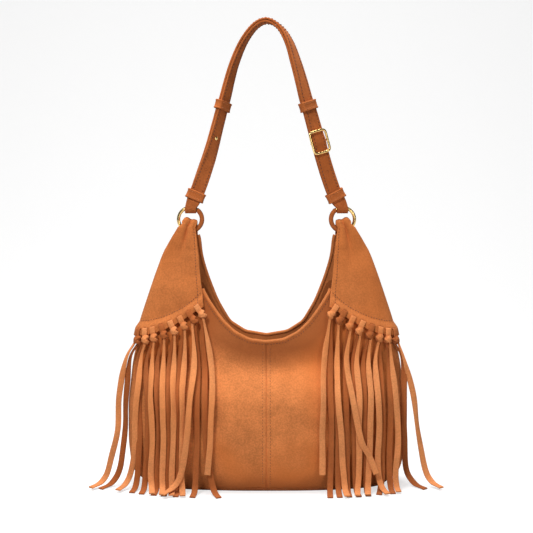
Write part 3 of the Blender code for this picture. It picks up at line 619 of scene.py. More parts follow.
def base():
    """The base: a flat sheet with a rounded edge where the body is sewn to it."""
    angles = np.linspace(0, 2 * math.pi, 160, endpoint=False)
    outline = []
    for turn in angles:
        c, s = math.cos(turn), math.sin(turn)
        radius = (abs(c) ** OUTLINE_POWER + abs(s) ** OUTLINE_POWER) ** (-1 / OUTLINE_POWER)
        outline.append((c * radius, s * radius))
    outline = np.array(outline)
    sections = []
    for z, shrink in ((0.9, 14.0), (0.2, 6.0), (0.0, 3.4), (0.6, 1.2), (1.8, 0.3), (3.2, 0.4),
                      (4.4, 1.0), (4.7, 3.0)):
        half_x, half_y = 152.0 - shrink, 47.0 - shrink
        sections.append(np.array([(x * half_x, y * half_y, z) for x, y in outline]))
    make_piece("base", *swept_mesh(sections), BASE, "bag", "suede_body", ("base_panel",))


# ---------------------------------------------------------------- ears


def band_height(s):
    return curve_value(BAND_EDGE, s)


def yoke_point(side, q, z, depth_sign):
    """A point midway through the ear: q runs 0 at its inner edge to 1 at the side seam."""
    held = min(z, 322)
    inner = curve_value(YOKE_INNER, held)
    s = inner + (1 - inner) * q
    above = z - band_height(s)
    raised = BAND_STANDOFF * (1 - np.clip((above - BAND_DEPTH + 4) / 8, 0, 1))
    extra = YOKE_GAP + YOKE_THICKNESS / 2 + (raised if depth_sign < 0 else 0)
    on_bag = bag_point(s, held, depth_sign)
    ahead = bag_point(min(s + 1e-3, 1), held, depth_sign)
    behind = bag_point(max(s - 1e-3, 0), held, depth_sign)
    along = unit((ahead - behind)[:2])
    out = np.array([along[1], -along[0]])
    if out[1] * depth_sign < 0:
        out = -out
    on_bag[:2] += out * extra
    return np.array([side * on_bag[0], on_bag[1], z])


def lump(q, centre, width, size):
    return size * math.exp(-((q - centre) / width) ** 2)


def tip_top(q):
    """Height of the ear's fold inside its ring: a broad lump outside and a small one inside."""
    return 343.4 + lump(q, 0.70, 0.26, 4.2) + lump(q, 0.20, 0.16, 1.4) - lump(q, 1.0, 0.10, 1.5)


def tip_front(q):
    """How far the gathered ear stands in front of its ring's wire."""
    return 6.1 + lump(q, 0.72, 0.20, 1.6) + lump(q, 0.22, 0.13, 1.6) - lump(q, 0.46, 0.08, 1.8)


def yoke_grid(side):
    """Middle surface of an ear: up the front, over the ring's wire, down behind to a flap."""
    columns = np.concatenate([[0, 0.015, 0.03], np.linspace(0.06, 0.94, 40), [0.965, 0.985, 1]])
    inner_low = curve_value(YOKE_INNER, YOKE_INNER[0][0])
    shares = [inner_low + (1 - inner_low) * q for q in columns]
    rows = []
    for rise in (0, 1.2, 2.6, 4.2, 6.0, 8.0, 10.0, 12.0, 14.0, 16.0, 18.0):
        row = []
        for q, s in zip(columns, shares):
            near = min(abs(s - slot) for slot in SLOTS)
            scallop = (1.3 * math.exp(-(near / 0.016) ** 2) - 0.8) * max(1 - rise / 5, 0)
            row.append(yoke_point(side, q, band_height(s) + rise + scallop, -1))
        rows.append(row)
    lows = [band_height(s) + 18.0 for s in shares]
    for share in np.linspace(0, 1, 30)[1:]:
        row = []
        for q, low in zip(columns, lows):
            point = yoke_point(side, q, low + (TIP_START - low) * share, -1)
            sag = ripple(q * 60 + 40 * side, share * 120, 8.0, 1.5) * math.sin(math.pi * share) ** 0.7
            crease = lump(q, 0.47 - 0.25 * (1 - share), 0.10, 1.6) * share ** 2
            point[1] -= sag - crease
            row.append(point)
        rows.append(row)
    start = rows[-1]
    neck = [np.array([side * (92.5 + 22.5 * q), -tip_front(q), 334.0]) for q in columns]
    for share in np.linspace(0, 1, 16)[1:]:
        ease = share * share * (3 - 2 * share)
        row = []
        for i, q in enumerate(columns):
            point = start[i] * (1 - share) + neck[i] * share
            point[1] = start[i][1] * (1 - ease) + neck[i][1] * ease \
                + lump(q, 0.47, 0.09, 1.8) * (1 - share) * share * 2 \
                - lump(q, 0.28, 0.12, 1.4) * (1 - share) * share * 3
            row.append(point)
        rows.append(row)
    top_x = [side * (90.5 + 18.5 * q) for q in columns]
    for share in np.linspace(0, 1, 8)[1:]:
        row = []
        for i, q in enumerate(columns):
            height = 334.0 + (tip_top(q) - 3.6 - 334.0) * share
            ease = share * share * (3 - 2 * share)
            x = neck[i][0] * (1 - ease) + top_x[i] * ease
            depth = tip_front(q) * (1 - 0.10 * ease)
            row.append(np.array([x, -depth, height]))
        rows.append(row)
    for angle in np.linspace(18, 180, 11):
        turn = math.radians(angle)
        row = []
        for i, q in enumerate(columns):
            depth = tip_front(q) * 0.90
            row.append(np.array([top_x[i], -math.cos(turn) * depth,
                                 tip_top(q) - 3.6 + 3.6 * math.sin(turn)]))
        rows.append(row)
    last = rows[-1]
    for share in np.linspace(0, 1, 14)[1:]:
        row = []
        for i, q in enumerate(columns):
            goal = yoke_point(side, q * 0.86 + 0.03, 303.0, 1)
            ease = min(share * 1.6, 1) ** 1.2
            point = last[i] * (1 - share) + goal * share
            held_off = 13.0 - (3.0 + 7.0 * q * q) * share
            point[1] = last[i][1] * (1 - ease) + max(goal[1], held_off) * ease
            row.append(point)
        rows.append(row)
    return np.array(rows), columns


def slot_frame(side, s):
    def band_point(at, rise):
        z = band_height(at) + rise
        first = curve_value(YOKE_INNER, min(z, YOKE_INNER[-1][0]))
        return yoke_point(side, (at - first) / (1 - first), z, -1)
    centre = band_point(s, SLOT_RISE)
    across = unit(band_point(min(s + 0.012, 0.999), SLOT_RISE) - band_point(s - 0.012, SLOT_RISE))
    up = band_point(s, SLOT_RISE + 2) - band_point(s, SLOT_RISE - 2)
    up = unit(up - across * up.dot(across))
    out = np.cross(across, up)
    if out.dot(np.array([centre[0] * 0.3, centre[1], 0])) < 0:
        out = -out
    return centre, across, up, out


def yoke(name, side):
    grid, columns = yoke_grid(side)
    normal = normals_of(grid[:40], np.array([0, -1, 0]))
    whole = normals_of(grid, np.array([0, -1, 0]))
    if (whole[:40] * normal).sum() < 0:
        whole = -whole
    half = whole * YOKE_THICKNESS / 2
    points, faces = shell_mesh(grid + half, grid - half)
    ear_name = name.replace("yoke", "ear")
    made = make_piece(ear_name, points, faces, YOKE, "bag", "suede_body", (name,))
    cutters = []
    for s in SLOTS:
        centre, across, up, out = slot_frame(side, s)
        corners = []
        for k in (-4.0, 4.0):
            for a, b in rounded_loop(SLOT_WIDTH, SLOT_HEIGHT, 0.8, 3):
                corners.append(centre + across * a + up * b + out * k)
        count = len(corners) // 2
        cutters.append(swept_mesh([np.array(corners[:count]), np.array(corners[count:])]))
    cutter = make_piece(name + "_slot_tool", *joined(*cutters), YOKE, None, None, smooth=False)
    opening = made.modifiers.new("slots", "BOOLEAN")
    opening.operation, opening.solver, opening.object = "DIFFERENCE", "MANIFOLD", cutter
    bpy.context.view_layer.objects.active = made
    made.select_set(True)
    bpy.ops.object.modifier_apply(modifier="slots")
    bpy.data.objects.remove(cutter)
    surface = grid + half * 1.02
    inside = np.searchsorted(columns, 0.075)
    rows = slice(3, 58)
    meshes = stitch_row(surface[rows, inside], whole[rows, inside], 3.7, 2.2, 0.42, sink=0.05)
    meshes += stitch_row(surface[10, 1:-1], whole[10, 1:-1], 3.7, 2.2, 0.42, sink=0.05)
    make_piece(name + "_stitches", *joined(*meshes), THREAD, "bag", "suede_body")
    return surface, whole


# ---------------------------------------------------------------- fringe


def body_depth(x, z):
    deepest = 0.0
    for height in np.arange(z, 235, 6.0):
        s = max(abs(x) - THONG_WIDTH / 2, 0) / curve_value(HALF_WIDTH, height)
        if s < 1:
            deepest = max(deepest, -bag_point(s, height, -1)[1])
    return deepest


def spline(points, count):
    points = np.asarray(points, float)
    padded = np.concatenate([[2 * points[0] - points[1]], points, [2 * points[-1] - points[-2]]])
    fine = []
    for i in range(len(points) - 1):
        a, b, c, d = padded[i:i + 4]
        for t in np.linspace(0, 1, 12, endpoint=False):
            fine.append(0.5 * (2 * b + (c - a) * t + (2 * a - 5 * b + 4 * c - d) * t**2
                               + (3 * b - a - 3 * c + d) * t**3))
    fine.append(points[-1])
    fine = np.array(fine)
    length = np.concatenate([[0], np.cumsum(np.linalg.norm(np.diff(fine, axis=0), axis=1))])
    at = np.linspace(0, length[-1], count)
    return np.stack([np.interp(at, length, fine[:, k]) for k in range(3)], axis=1)


def tail_route(knot, tail, side_step):
    across_at, layer, end_height = tail[:5], tail[5], tail[6]
    gap = 2.6 + 4.2 * layer
    points = [knot + np.array([side_step, 0, -KNOT_SIZE[2] * 0.3])]
    for x, z in zip(across_at, TAIL_HEIGHTS):
        points.append(np.array([x, min(-body_depth(x, z - TAIL_LEAD) - gap, -14.0 - gap), z]))
    front = points[-1][1]
    if end_height > 10:
        points[-1][2] = end_height + 22
        points.append(np.array([across_at[4], front - 1, end_height]))
        return points
    lift = THONG_THICKNESS / 2 + 0.6 + 2.4 * layer
    near = across_at[3] + (across_at[4] - across_at[3]) * 0.45
    points.append(np.array([near, front - 5, 4 + lift]))
    points.append(np.array([across_at[4], front - 22, lift]))
    return points


def tail_mesh(line, start_across, seed, thickness=1.7):
    """A flat lace that leaves its knot folded, opens out and turns a little on its way down."""
    steps = len(line)
    line = line.copy()
    for i in range(steps):
        at = i / (steps - 1)
        line[i, 0] += 2.2 * math.sin(math.pi * at) * noise.noise(Vector((at * 4.0, seed, 5.5)))
    tangents = np.gradient(line, axis=0)
    sections = []
    for i, (point, tangent) in enumerate(zip(line, tangents)):
        tangent = unit(tangent)
        at = i / (steps - 1)
        share = min(at * 5, 1)
        across = start_across * (1 - share) + np.array([1.0, 0, 0]) * share
        across = unit(across - tangent * across.dot(tangent))
        out = np.cross(tangent, across)
        free = math.sin(math.pi * min(at * 1.15, 1)) * (1 if line[i][2] > 14 else 0.2)
        turn = free * 1.1 * noise.noise(Vector((at * 3.1, seed, 0.4)))
        across, out = (across * math.cos(turn) + out * math.sin(turn),
                       out * math.cos(turn) - across * math.sin(turn))
        open_out = min(max(at - 0.03, 0) * 4.6, 1)
        width = LACE_WIDTH * (0.40 + 0.60 * open_out * open_out * (3 - 2 * open_out)) \
            * (1 + 0.06 * noise.noise(Vector((at * 7, seed, 3.3))))
        curl = 0.75 * (1 - min(at * 5, 1)) + 0.10 * noise.noise(Vector((at * 4, seed, 7.7)))
        section = []
        for a, b in rounded_loop(width, thickness, 0.85, 3):
            lifted = b + curl * (a / width * 2) ** 2 * 2.0
            section.append(point + across * a + out * lifted)
        sections.append(np.array(section))
    return swept_mesh(sections)


def lace_band(centre, first, second, third, radii, width, thickness, spread=1.0, count=30):
    """A flat lace wrapped once round a knot: an oval loop in the plane of two directions."""
    sections = []
    for turn in np.linspace(0, 2 * math.pi, count, endpoint=False):
        outward = first * math.cos(turn) + second * math.sin(turn)
        point = centre + first * math.cos(turn) * radii[0] + second * math.sin(turn) * radii[1]
        wide = width * (1 - 0.22 * spread * math.cos(2 * turn))
        section = []
        for a, b in rounded_loop(wide, thickness, 0.9, 3):
            crown = -0.5 * (a / wide * 2) ** 2
            section.append(point + third * a + outward * (b + crown))
        sections.append(np.array(section))
    return swept_mesh(sections, closed=True)


def knot_mesh(centre, across, up, out, seed):
    """An overhand knot of flat lace: two turns that cross over a packed core."""
    def tilted(angle):
        turn = math.radians(angle)
        return (across * math.cos(turn) + up * math.sin(turn),
                up * math.cos(turn) - across * math.sin(turn))
    jitter = 8 * noise.noise(Vector((seed, 0.3, 1.1)))
    meshes = []
    core = []
    for level in np.linspace(-1, 1, 9):
        scale = math.sqrt(max(1 - level * level, 0.03))
        core.append(np.array([centre + up * level * 4.0 + across * math.cos(t) * scale * 4.0
                              + out * math.sin(t) * scale * 3.0
                              for t in np.linspace(0, 2 * math.pi, 14, endpoint=False)]))
    meshes.append(swept_mesh(core))
    for angle, shift, radii in ((26 + jitter, 1.9, (4.9, 3.7)), (-32 + jitter, -2.0, (4.7, 3.9)),
                                (64 + jitter, 0.0, (4.3, 4.2))):
        first, third = tilted(angle)
        meshes.append(lace_band(centre + up * shift * 0.8, first, out, third, radii, 5.0, 1.5))
    return joined(*meshes)


def loop_mesh(edge, across, up, out, seed):
    """The lace through its slot: up behind the band, over its edge and down to the knot."""
    half = YOKE_THICKNESS / 2
    top = SLOT_RISE
    path = [(-half - 1.6, -LOOP_DROP - 3.0), (-half - 1.5, 1.5), (-half - 1.3, 5.0),
            (-half - 0.4, top - 0.4), (half + 0.3, top + 0.2), (half + 1.2, top - 1.0),
            (half + 1.5, 4.0), (half + 1.6, 0.5), (half + 1.1, -LOOP_DROP - 2.0)]
    line = spline([edge + out * n + up * b for n, b in path], 30)
    tangents = np.gradient(line, axis=0)
    sections = []
    for i, (point, tangent) in enumerate(zip(line, tangents)):
        tangent = unit(tangent)
        wide_across = unit(across - tangent * across.dot(tangent))
        normal = np.cross(tangent, wide_across)
        at = i / (len(line) - 1)
        width = 7.2 - 1.8 * max(0, (abs(at - 0.55) - 0.3) / 0.15 * 0.5)
        lean = 0.5 * noise.noise(Vector((seed, at * 2, 0.9)))
        sections.append(np.array([point + wide_across * (a + lean) + normal * b
                                  for a, b in rounded_loop(width, THONG_THICKNESS, 0.85, 3)]))
    return swept_mesh(sections)


def thongs(side_name, side, tails_of_side):
    for number, (s, pair) in enumerate(zip(SLOTS, tails_of_side), 1):
        centre, across, up, out = slot_frame(side, s)
        if across[0] < 0:
            across = -across
        edge = centre - up * SLOT_RISE
        seed = number * 1.37 + side * 5.1
        knot_centre = edge + up * (-LOOP_DROP - THONG_THICKNESS - KNOT_SIZE[2] * 0.5 + 1.0) \
            + out * 0.8
        finish = FRINGE_LIT_AND_SHADED[(number + (side > 0)) % 3]
        head = joined(loop_mesh(edge, across, up, out, seed),
                      knot_mesh(knot_centre, across, up, out, seed))
        node = f"thong_{side_name}_{number}"
        # Knots take the three tones in turn, including the painted-shade and painted-light copies.
        make_piece(f"knot_{side_name}_{number}", *head, FRINGE_LIT_AND_SHADED[(number * 2) % 3], "bag",
                   "suede_fringe", (node,))
        for index, tail in enumerate(pair):
            step = 1.4 if tail[0] > pair[1 - index][0] else -1.4
            route = tail_route(knot_centre, tail, step)
            route[0] = route[0] + out * (1.1 if index == 0 else -1.0) - up * 0.9 * index
            line = spline(route, 90)
            path = spline(route, TAIL_POINTS)
            # Back-layer tails take the painted-shade copy; front-layer tails take the painted-light
            # copy.
            tail_finish = FRINGE_LIT_AND_SHADED[(number * 2 + side) % 2 * 2] if tail[5] else FRINGE_LIT_AND_SHADED[1]
            made = make_piece(f"tail_{side_name}_{number}_{index + 1}",
                              *tail_mesh(line, across, seed + 11 * index), tail_finish, "bag",
                              "suede_fringe", (node,))


# ---------------------------------------------------------------- rings


def ring(side_name, side):
    body_name = "ring_" + side_name
    sections = []
    count = 150
    for i, angle in enumerate(np.linspace(0, 360, count, endpoint=False)):
        turn = math.radians(angle)
        outward = np.array([side * -math.cos(turn), 0, math.sin(turn)])
        centre = np.array([side * RING_X, 0, RING_Z]) + outward * RING_RADIUS
        rib = WIRE_RADIUS + (0.10 if i % 2 else -0.04)
        sections.append(np.array([centre + (outward * math.cos(t) + np.array([0, math.sin(t), 0]))
                                  * rib for t in np.linspace(0, 2 * math.pi, 20, endpoint=False)]))
    make_piece(f"ring_brass_{side_name}", *swept_mesh(sections, closed=True), BRASS, body_name,
               "brass", ("ring_" + side_name,))
    sections = []
    for angle in np.linspace(-66, 56, 60):
        turn = math.radians(angle)
        outward = np.array([side * -math.cos(turn), 0, math.sin(turn)])
        centre = np.array([side * RING_X, 0, RING_Z]) + outward * RING_RADIUS
        end = min((angle + 66) / 6, (56 - angle) / 6, 1)
        thick = 3.0 - 0.5 * (1 - end) + 0.14 * noise.noise(Vector((angle * 0.09, side, 2.0)))
        ring_points = []
        for t in np.linspace(0, 2 * math.pi, 24, endpoint=False):
            crease = 0.35 * math.exp(-((((t - math.pi + 0.2) % (2 * math.pi)) - math.pi) / 0.2) ** 2)
            ring_points.append(centre + (outward * math.cos(t) + np.array([0, math.sin(t), 0]))
                               * (thick - crease))
        sections.append(np.array(ring_points))
    make_piece(f"ring_sleeve_{side_name}", *swept_mesh(sections), STRAP_TRIM, body_name,
               "suede_strap", ("ring_wrap_" + side_name,))


# ---------------------------------------------------------------- strap


class StrapLine:
    """The strap's middle line with its across and outward directions."""

    def __init__(self):
        self.points = spline(STRAP_LINE, STRAP_STEPS + 1)
        tangents = np.gradient(self.points, axis=0)
        tangents[0] = (0, 0, 1)
        tangents[-1] = (0, 0, -1)
        self.along = tangents / np.linalg.norm(tangents, axis=1, keepdims=True)
        self.across = []
        for i, tangent in enumerate(self.along):
            turn = math.radians(curve_value(STRAP_TURN, i / STRAP_STEPS))
            across = np.array([math.sin(turn), math.cos(turn), 0])
            self.across.append(unit(across - tangent * across.dot(tangent)))
        self.across = np.array(self.across)
        steps = np.linalg.norm(np.diff(self.points, axis=0), axis=1)
        self.length = np.concatenate([[0], np.cumsum(steps)])

    def at(self, length):
        def read(values):
            return np.array([np.interp(length, self.length, values[:, k]) for k in range(3)])
        along = unit(read(self.along))
        across = read(self.across)
        across = unit(across - along * across.dot(along))
        return read(self.points), along, across, np.cross(along, across)

    def length_at(self, side, z):
        middle = len(self.points) // 2
        if side < 0:
            return float(np.interp(z, self.points[:middle, 2], self.length[:middle]))
        return float(np.interp(-z, -self.points[middle:, 2], self.length[middle:]))


def ply_offset(strap, length):
    near = min(length, strap.length[-1] - length)
    share = np.clip(near / 19.0, 0, 1)
    share = share * share * (3 - 2 * share)
    return FOLD_OFFSET * (1 - share) + PLY_OFFSET * share


def strap_width(strap, length):
    near = min(length, strap.length[-1] - length)
    share = np.clip((near - 1) / 14.0, 0, 1)
    return FOLD_WIDTH + (STRAP_WIDTH - FOLD_WIDTH) * share


def slide_bump(strap, length, size):
    distance = abs(length - strap.length_at(1, SLIDE_Z))
    return size * 0.5 * (1 + math.cos(math.pi * min(distance / 10.5, 1)))


def ply_section(strap, length, sign, loop):
    """A rounded section of a ply, slightly dished between its two stitch rows."""
    point, along, across, out = strap.at(length)
    bump = SLIDE_BULGE if sign > 0 else -1.0
    offset = sign * ply_offset(strap, length) + slide_bump(strap, length, bump)
    middle = point + out * offset
    width = strap_width(strap, length)
    section = []
    for a, b in loop:
        edge = abs(a) * 2
        dish = 0.22 * math.exp(-((edge - 0.68) / 0.10) ** 2) * np.sign(b)
        wave = 0.18 * noise.noise(Vector((length * 0.06, a * 2, sign)))
        section.append(middle + across * a * width + out * (b * PLY - dish + wave))
    return np.array(section)


def ply_loop():
    loop = []
    for a, b in rounded_loop(STRAP_WIDTH, PLY, 0.75, 4):
        loop.append((a / STRAP_WIDTH, b / PLY))
    full = []
    for i, (a, b) in enumerate(loop):
        full.append((a, b))
        n = loop[(i + 1) % len(loop)]
        if abs(n[0] - a) > 0.3:
            full += [(a + (n[0] - a) * t, b) for t in np.linspace(0, 1, 14)[1:-1]]
    return full


def fold_sections(side, loop):
    centre = np.array([side * -STRAP_LINE[0][0], 0, STRAP_AXIS_Z])
    sections = []
    for angle in np.linspace(180, 0, 18)[1:-1]:
        turn = math.radians(angle)
        outward = np.array([0, side * math.cos(turn) * -1, -math.sin(turn)])
        middle = centre + outward * FOLD_OFFSET
        sections.append(np.array([middle + np.array([a * FOLD_WIDTH, 0, 0]) + outward * b * PLY
                                  for a, b in loop]))
    return sections


def stations(first, last, pitch=3.0):
    return np.linspace(first, last, int(abs(last - first) / pitch) + 2)


def strap_pieces(strap):
    loop = ply_loop()
    flipped = [(a, -b) for a, b in loop]
    total = strap.length[-1]
    left_end = strap.length_at(-1, KEEPERS[0][1])
    right_end = strap.length_at(1, KEEPERS[2][1])
    outer = [ply_section(strap, x, -1, flipped) for x in stations(left_end, 0)]
    outer += fold_sections(-1, loop)
    outer += [ply_section(strap, x, 1, loop) for x in stations(0, total)]
    outer += fold_sections(1, loop)[::-1]
    outer += [ply_section(strap, x, -1, flipped) for x in stations(total, right_end)]
    make_piece("strap_outer_ply", *swept_mesh(outer), STRAP, "strap", "suede_strap",
               ("strap_outer",))
    inner = [ply_section(strap, x, -1, loop) for x in
             stations(left_end + 0.6, right_end - 0.6)]
    make_piece("strap_inner_ply", *swept_mesh(inner), STRAP, "strap", "suede_strap",
               ("strap_inner",))
    meshes = []
    for edge in (-0.335, 0.335):
        for sign in (-1, 1):
            line, normals = [], []
            for length in stations(12, total - 12, 2.0):
                point, along, across, out = strap.at(length)
                bump = SLIDE_BULGE if sign > 0 else -1.0
                offset = sign * (ply_offset(strap, length) + PLY / 2) \
                    + slide_bump(strap, length, bump)
                line.append(point + across * edge * strap_width(strap, length) + out * offset)
                normals.append(out * sign)
            meshes += stitch_row(line, np.array(normals), 4.3, 2.6, 0.55, sink=0.05)
    make_piece("strap_stitches", *joined(*meshes), THREAD, "strap", "suede_strap")
    meshes = []
    # Each punched hole is a raised ring in the dark painted-shade suede; the plies are not cut through.
    for side, z, radius in ((-1, LEFT_HOLE_Z, 1.5), (1, RIGHT_HOLE_Z, 1.5),
                            (1, UPPER_HOLE_Z - 14, 1.3)):
        for sign in (-1, 1):
            point, along, across, out = strap.at(strap.length_at(side, z))
            centre = point + out * sign * (PLY_OFFSET + PLY / 2 - 0.3)
            sections = []
            for grow, lift in ((1.45, 0.0), (1.30, 0.42), (1.0, 0.46), (0.8, 0.0)):
                sections.append(np.array([centre + (across * math.cos(t) + along * math.sin(t))
                                          * radius * grow + out * sign * lift
                                          for t in np.linspace(0, 2 * math.pi, 18,
                                                               endpoint=False)]))
            meshes.append(swept_mesh(sections, closed=True))
    make_piece("strap_hole_edges", *joined(*meshes), PAINTED_SHADE_SUEDE, "strap", "suede_strap")


def keeper(strap, name, side, z, half_thickness):
    """A stitched loop with raised edges round the plies."""
    point, along, across, out = strap.at(strap.length_at(side, z))
    half_width = STRAP_WIDTH / 2 + 0.6
    profile = []
    for reach, lift in ((-6.0, 0.9), (-5.9, 1.7), (-5.4, 2.2), (-4.6, 2.25), (-4.0, 1.95),
                        (-3.3, 1.75), (0, 1.7), (3.3, 1.75), (4.0, 1.95), (4.6, 2.25),
                        (5.4, 2.2), (5.9, 1.7), (6.0, 0.9), (5.8, 0.25), (0, 0.15),
                        (-5.8, 0.25)):
        profile.append((reach, lift))
    sections = []
    corner = 1.2
    for a, b, first in ((1, 1, 0), (-1, 1, 90), (-1, -1, 180), (1, -1, 270)):
        for angle in np.linspace(first, first + 90, 6):
            turn = math.radians(angle)
            radial = across * math.cos(turn) + out * math.sin(turn)
            centre = point + across * a * (half_width - corner) + out * b * (half_thickness - corner)
            sections.append(np.array([centre + radial * (corner + lift) + along * reach
                                      for reach, lift in profile]))
        ends = {0: (-1, 0, 0), 90: (0, -1, 0), 180: (1, 0, 0), 270: (0, 1, 0)}[first]
        steps = 6
        span = 2 * (half_width - corner) if ends[0] else 2 * (half_thickness - corner)
        direction = across * ends[0] + out * ends[1]
        normal = out * b if ends[0] else across * a
        for k in range(1, steps):
            centre = point + across * a * (half_width - corner) \
                + out * b * (half_thickness - corner) + direction * span * k / steps
            crown = 0.35 * math.sin(math.pi * k / steps)
            sections.append(np.array([centre + normal * (corner + lift + crown) + along * reach
                                      for reach, lift in profile]))
    body_name = "keeper_" + name
    make_piece("loop_" + name, *swept_mesh(sections, closed=True), STRAP_TRIM, body_name,
               "suede_strap", (body_name,))
    meshes = []
    for sign in (-1, 1):
        for reach in (-3.3, 3.3):
            line = [point + out * sign * (half_thickness + 1.75 + 0.3) + across * x + along * reach
                    for x in np.linspace(-half_width + 0.6, half_width - 0.6, 12)]
            meshes += stitch_row(line, np.array([out * sign] * 12), 2.9, 1.8, 0.38, sink=0.1)
    make_piece(f"loop_{name}_stitches", *joined(*meshes), THREAD_LIGHT, body_name, "suede_strap")


def turned(name, origin, axis, across, profile, body_name, replaced, sides=36):
    other = np.cross(axis, across)
    sections = []
    for radius, height in profile:
        sections.append(np.array([origin + axis * height
                                  + (across * math.cos(t) + other * math.sin(t)) * radius
                                  for t in np.linspace(0, 2 * math.pi, sides, endpoint=False)]))
    return make_piece(name, *swept_mesh(sections), BRASS, body_name, "brass", replaced, angle=35)


def hardware(strap):
    point, along, across, out = strap.at(strap.length_at(-1, STUD_Z))
    face = PLY_OFFSET + PLY / 2 + 0.3
    ball = [(3.3 * math.sin(t), face + 5.0 - 3.3 * math.cos(t)) for t in np.linspace(0.5, 3.05, 16)]
    turned("stud", point, out, across,
           [(0.6, -face - 1.3), (1.8, -face - 1.1), (2.4, -face - 0.6), (2.4, -face), (1.3, -face),
            (1.3, face), (3.0, face), (3.0, face + 0.7), (2.6, face + 1.0), (1.5, face + 1.2),
            (1.4, face + 2.0)] + ball, "strap", ("ball_stud",))
    point, along, across, out = strap.at(strap.length_at(-1, RIVET_Z))
    turned("rivet", point, out, across,
           [(0.9, -PLY_OFFSET), (0.9, face), (2.4, face), (2.3, face + 0.5), (1.7, face + 1.0),
            (0.8, face + 1.2)], "strap", ("strap_rivet",))
    slide(strap)


def slide(strap):
    point, along, across, out = strap.at(strap.length_at(1, SLIDE_Z))
    half_w, half_l, corner, bar = 11.3, 14.2, 4.5, 1.6
    low = PLY_OFFSET + PLY / 2 + 0.8
    sections = []
    for a, b, first in ((1, 1, 0), (-1, 1, 90), (-1, -1, 180), (1, -1, 270)):
        for angle in np.linspace(first, first + 90, 10):
            turn = math.radians(angle)
            radial = across * math.cos(turn) + along * math.sin(turn)
            middle = point + across * a * (half_w - corner) + along * b * (half_l - corner) \
                + radial * corner + out * (low + 1.4)
            sections.append(np.array([middle + radial * math.cos(t) * bar
                                      + out * math.copysign(abs(math.sin(t)) ** 0.8, math.sin(t))
                                      * 1.5 for t in np.linspace(0, 2 * math.pi, 18,
                                                                 endpoint=False)]))
    frame_mesh = swept_mesh(sections, closed=True)
    line = spline([point + across * a + out * b for a, b in
                   ((-half_w, low + 1.0), (-half_w + 0.3, 0.9), (-half_w + 2.0, 0.2), (0, 0.1),
                    (half_w - 2.0, 0.2), (half_w - 0.3, 0.9), (half_w, low + 1.0))], 40)
    tangents = np.gradient(line, axis=0)
    bar_sections = []
    for centre, tangent in zip(line, tangents):
        second = unit(np.cross(unit(tangent), along))
        bar_sections.append(np.array([centre + (along * math.cos(t) + second * math.sin(t)) * 1.05
                                      for t in np.linspace(0, 2 * math.pi, 12, endpoint=False)]))
    make_piece("slide", *joined(frame_mesh, swept_mesh(bar_sections)), BRASS, "strap", "brass",
               ("slide_frame",))


# ---------------------------------------------------------------- studio


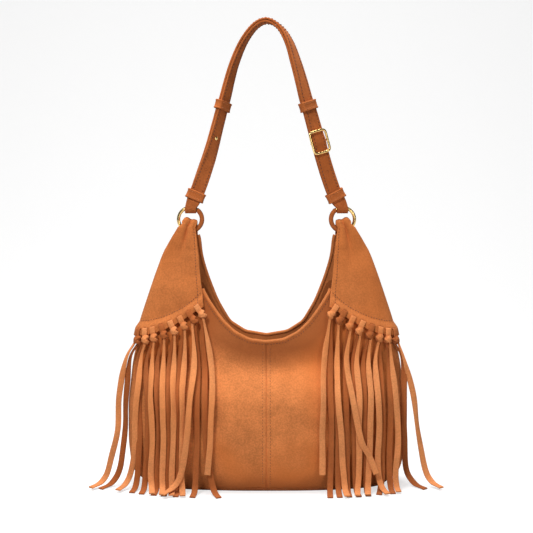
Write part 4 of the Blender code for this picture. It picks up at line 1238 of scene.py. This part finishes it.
def studio():
    floor_z = 0.0
    rows = []
    for y, z in [(-3.0, 0.0), (0.8, 0.0)] + [(0.8 + 1.2 * math.sin(t), 1.2 - 1.2 * math.cos(t))
                                              for t in np.linspace(0.15, 1.5, 12)] + [(2.0, 4.0)]:
        rows.append([(x, y, z + floor_z) for x in (-4.0, 4.0)])
    grid = np.array(rows)
    faces = [(2 * i, 2 * i + 1, 2 * i + 3, 2 * i + 2) for i in range(len(rows) - 1)]
    mesh = bpy.data.meshes.new("floor")
    mesh.from_pydata([tuple(p) for p in grid.reshape(-1, 3)], [], faces)
    mesh.shade_smooth()
    floor = bpy.data.objects.new("floor", mesh)
    bpy.context.scene.collection.objects.link(floor)
    made = Finish("studio_white", 0.9, Base_Color=(0.45, 0.45, 0.45, 1), Specular_IOR_Level=0.1,
                  Emission_Strength=0.66)
    seen = made.node("ShaderNodeLightPath")
    mirrored = made.node("ShaderNodeLightPath", output="Is Glossy Ray")
    made.feed("Emission Color", made.mix((seen + mirrored).clamped(), rgba((0, 0, 0)),
                                         rgba((1, 1, 1))))
    mesh.materials.append(made.material)
    world = bpy.data.worlds.new("studio_air")
    world.use_nodes = True
    world.node_tree.nodes["Background"].inputs["Color"].default_value = (1, 1, 1, 1)
    world.node_tree.nodes["Background"].inputs["Strength"].default_value = 0.08
    bpy.context.scene.world = world
    bpy.context.scene.view_settings.view_transform = "Standard"
    for name, place, aim, size, power in (
            ("key", (-0.55, -1.35, 1.45), (0, 0, 0.22), 0.35, 18),
            ("fill", (0.8, -1.9, 0.7), (0, 0, 0.25), 0.5, 6),
            ("top", (-0.1, -0.05, 2.0), (0, 0, 0.1), 0.7, 38)):
        light = bpy.data.lights.new(name, "AREA")
        light.size, light.energy = size, power
        lamp = bpy.data.objects.new(name, light)
        lamp.location = place
        lamp.rotation_euler = (Vector(aim) - Vector(place)).to_track_quat("-Z", "Y").to_euler()
        bpy.context.scene.collection.objects.link(lamp)


def camera():
    lens = bpy.data.cameras.new("camera")
    lens.lens = 77.94
    lens.sensor_width = 36.0
    seen = bpy.data.objects.new("camera", lens)
    seen.location = (0, -1.5, 0.35)
    seen.rotation_euler = (math.radians(90 - 2.515), 0, 0)
    bpy.context.scene.collection.objects.link(seen)
    bpy.context.scene.camera = seen


camera()
for name, side, tails in (("left", -1, LEFT_TAILS), ("right", 1, RIGHT_TAILS)):
    thongs(name, side, tails)
body()
rim("front_rim", FRONT_TOP, -1, FRONT_BEAD_END, ("front_rim_binding",))
rim("back_rim", BACK_TOP, 1, BACK_BEAD_END, ("back_rim_binding",))
# The front facing is dark with painted shade; the back facing keeps the turned edge's suede.
facing("front_facing", FRONT_TOP, -1, FRONT_BEAD_END, 13.0, PAINTED_SHADE_SUEDE, 0.2)
facing("back_facing", BACK_TOP, 1, BACK_BEAD_END, 14.0, EDGE, 0.2)
base()
for name, side in (("yoke_left", -1), ("yoke_right", 1)):
    yoke(name, side)
for name, side in (("left", -1), ("right", 1)):
    ring(name, side)
strap = StrapLine()
strap_pieces(strap)
for name, z, half_thickness in KEEPERS:
    keeper(strap, name, -1 if name.endswith("left") else 1, z, half_thickness)
hardware(strap)
studio()
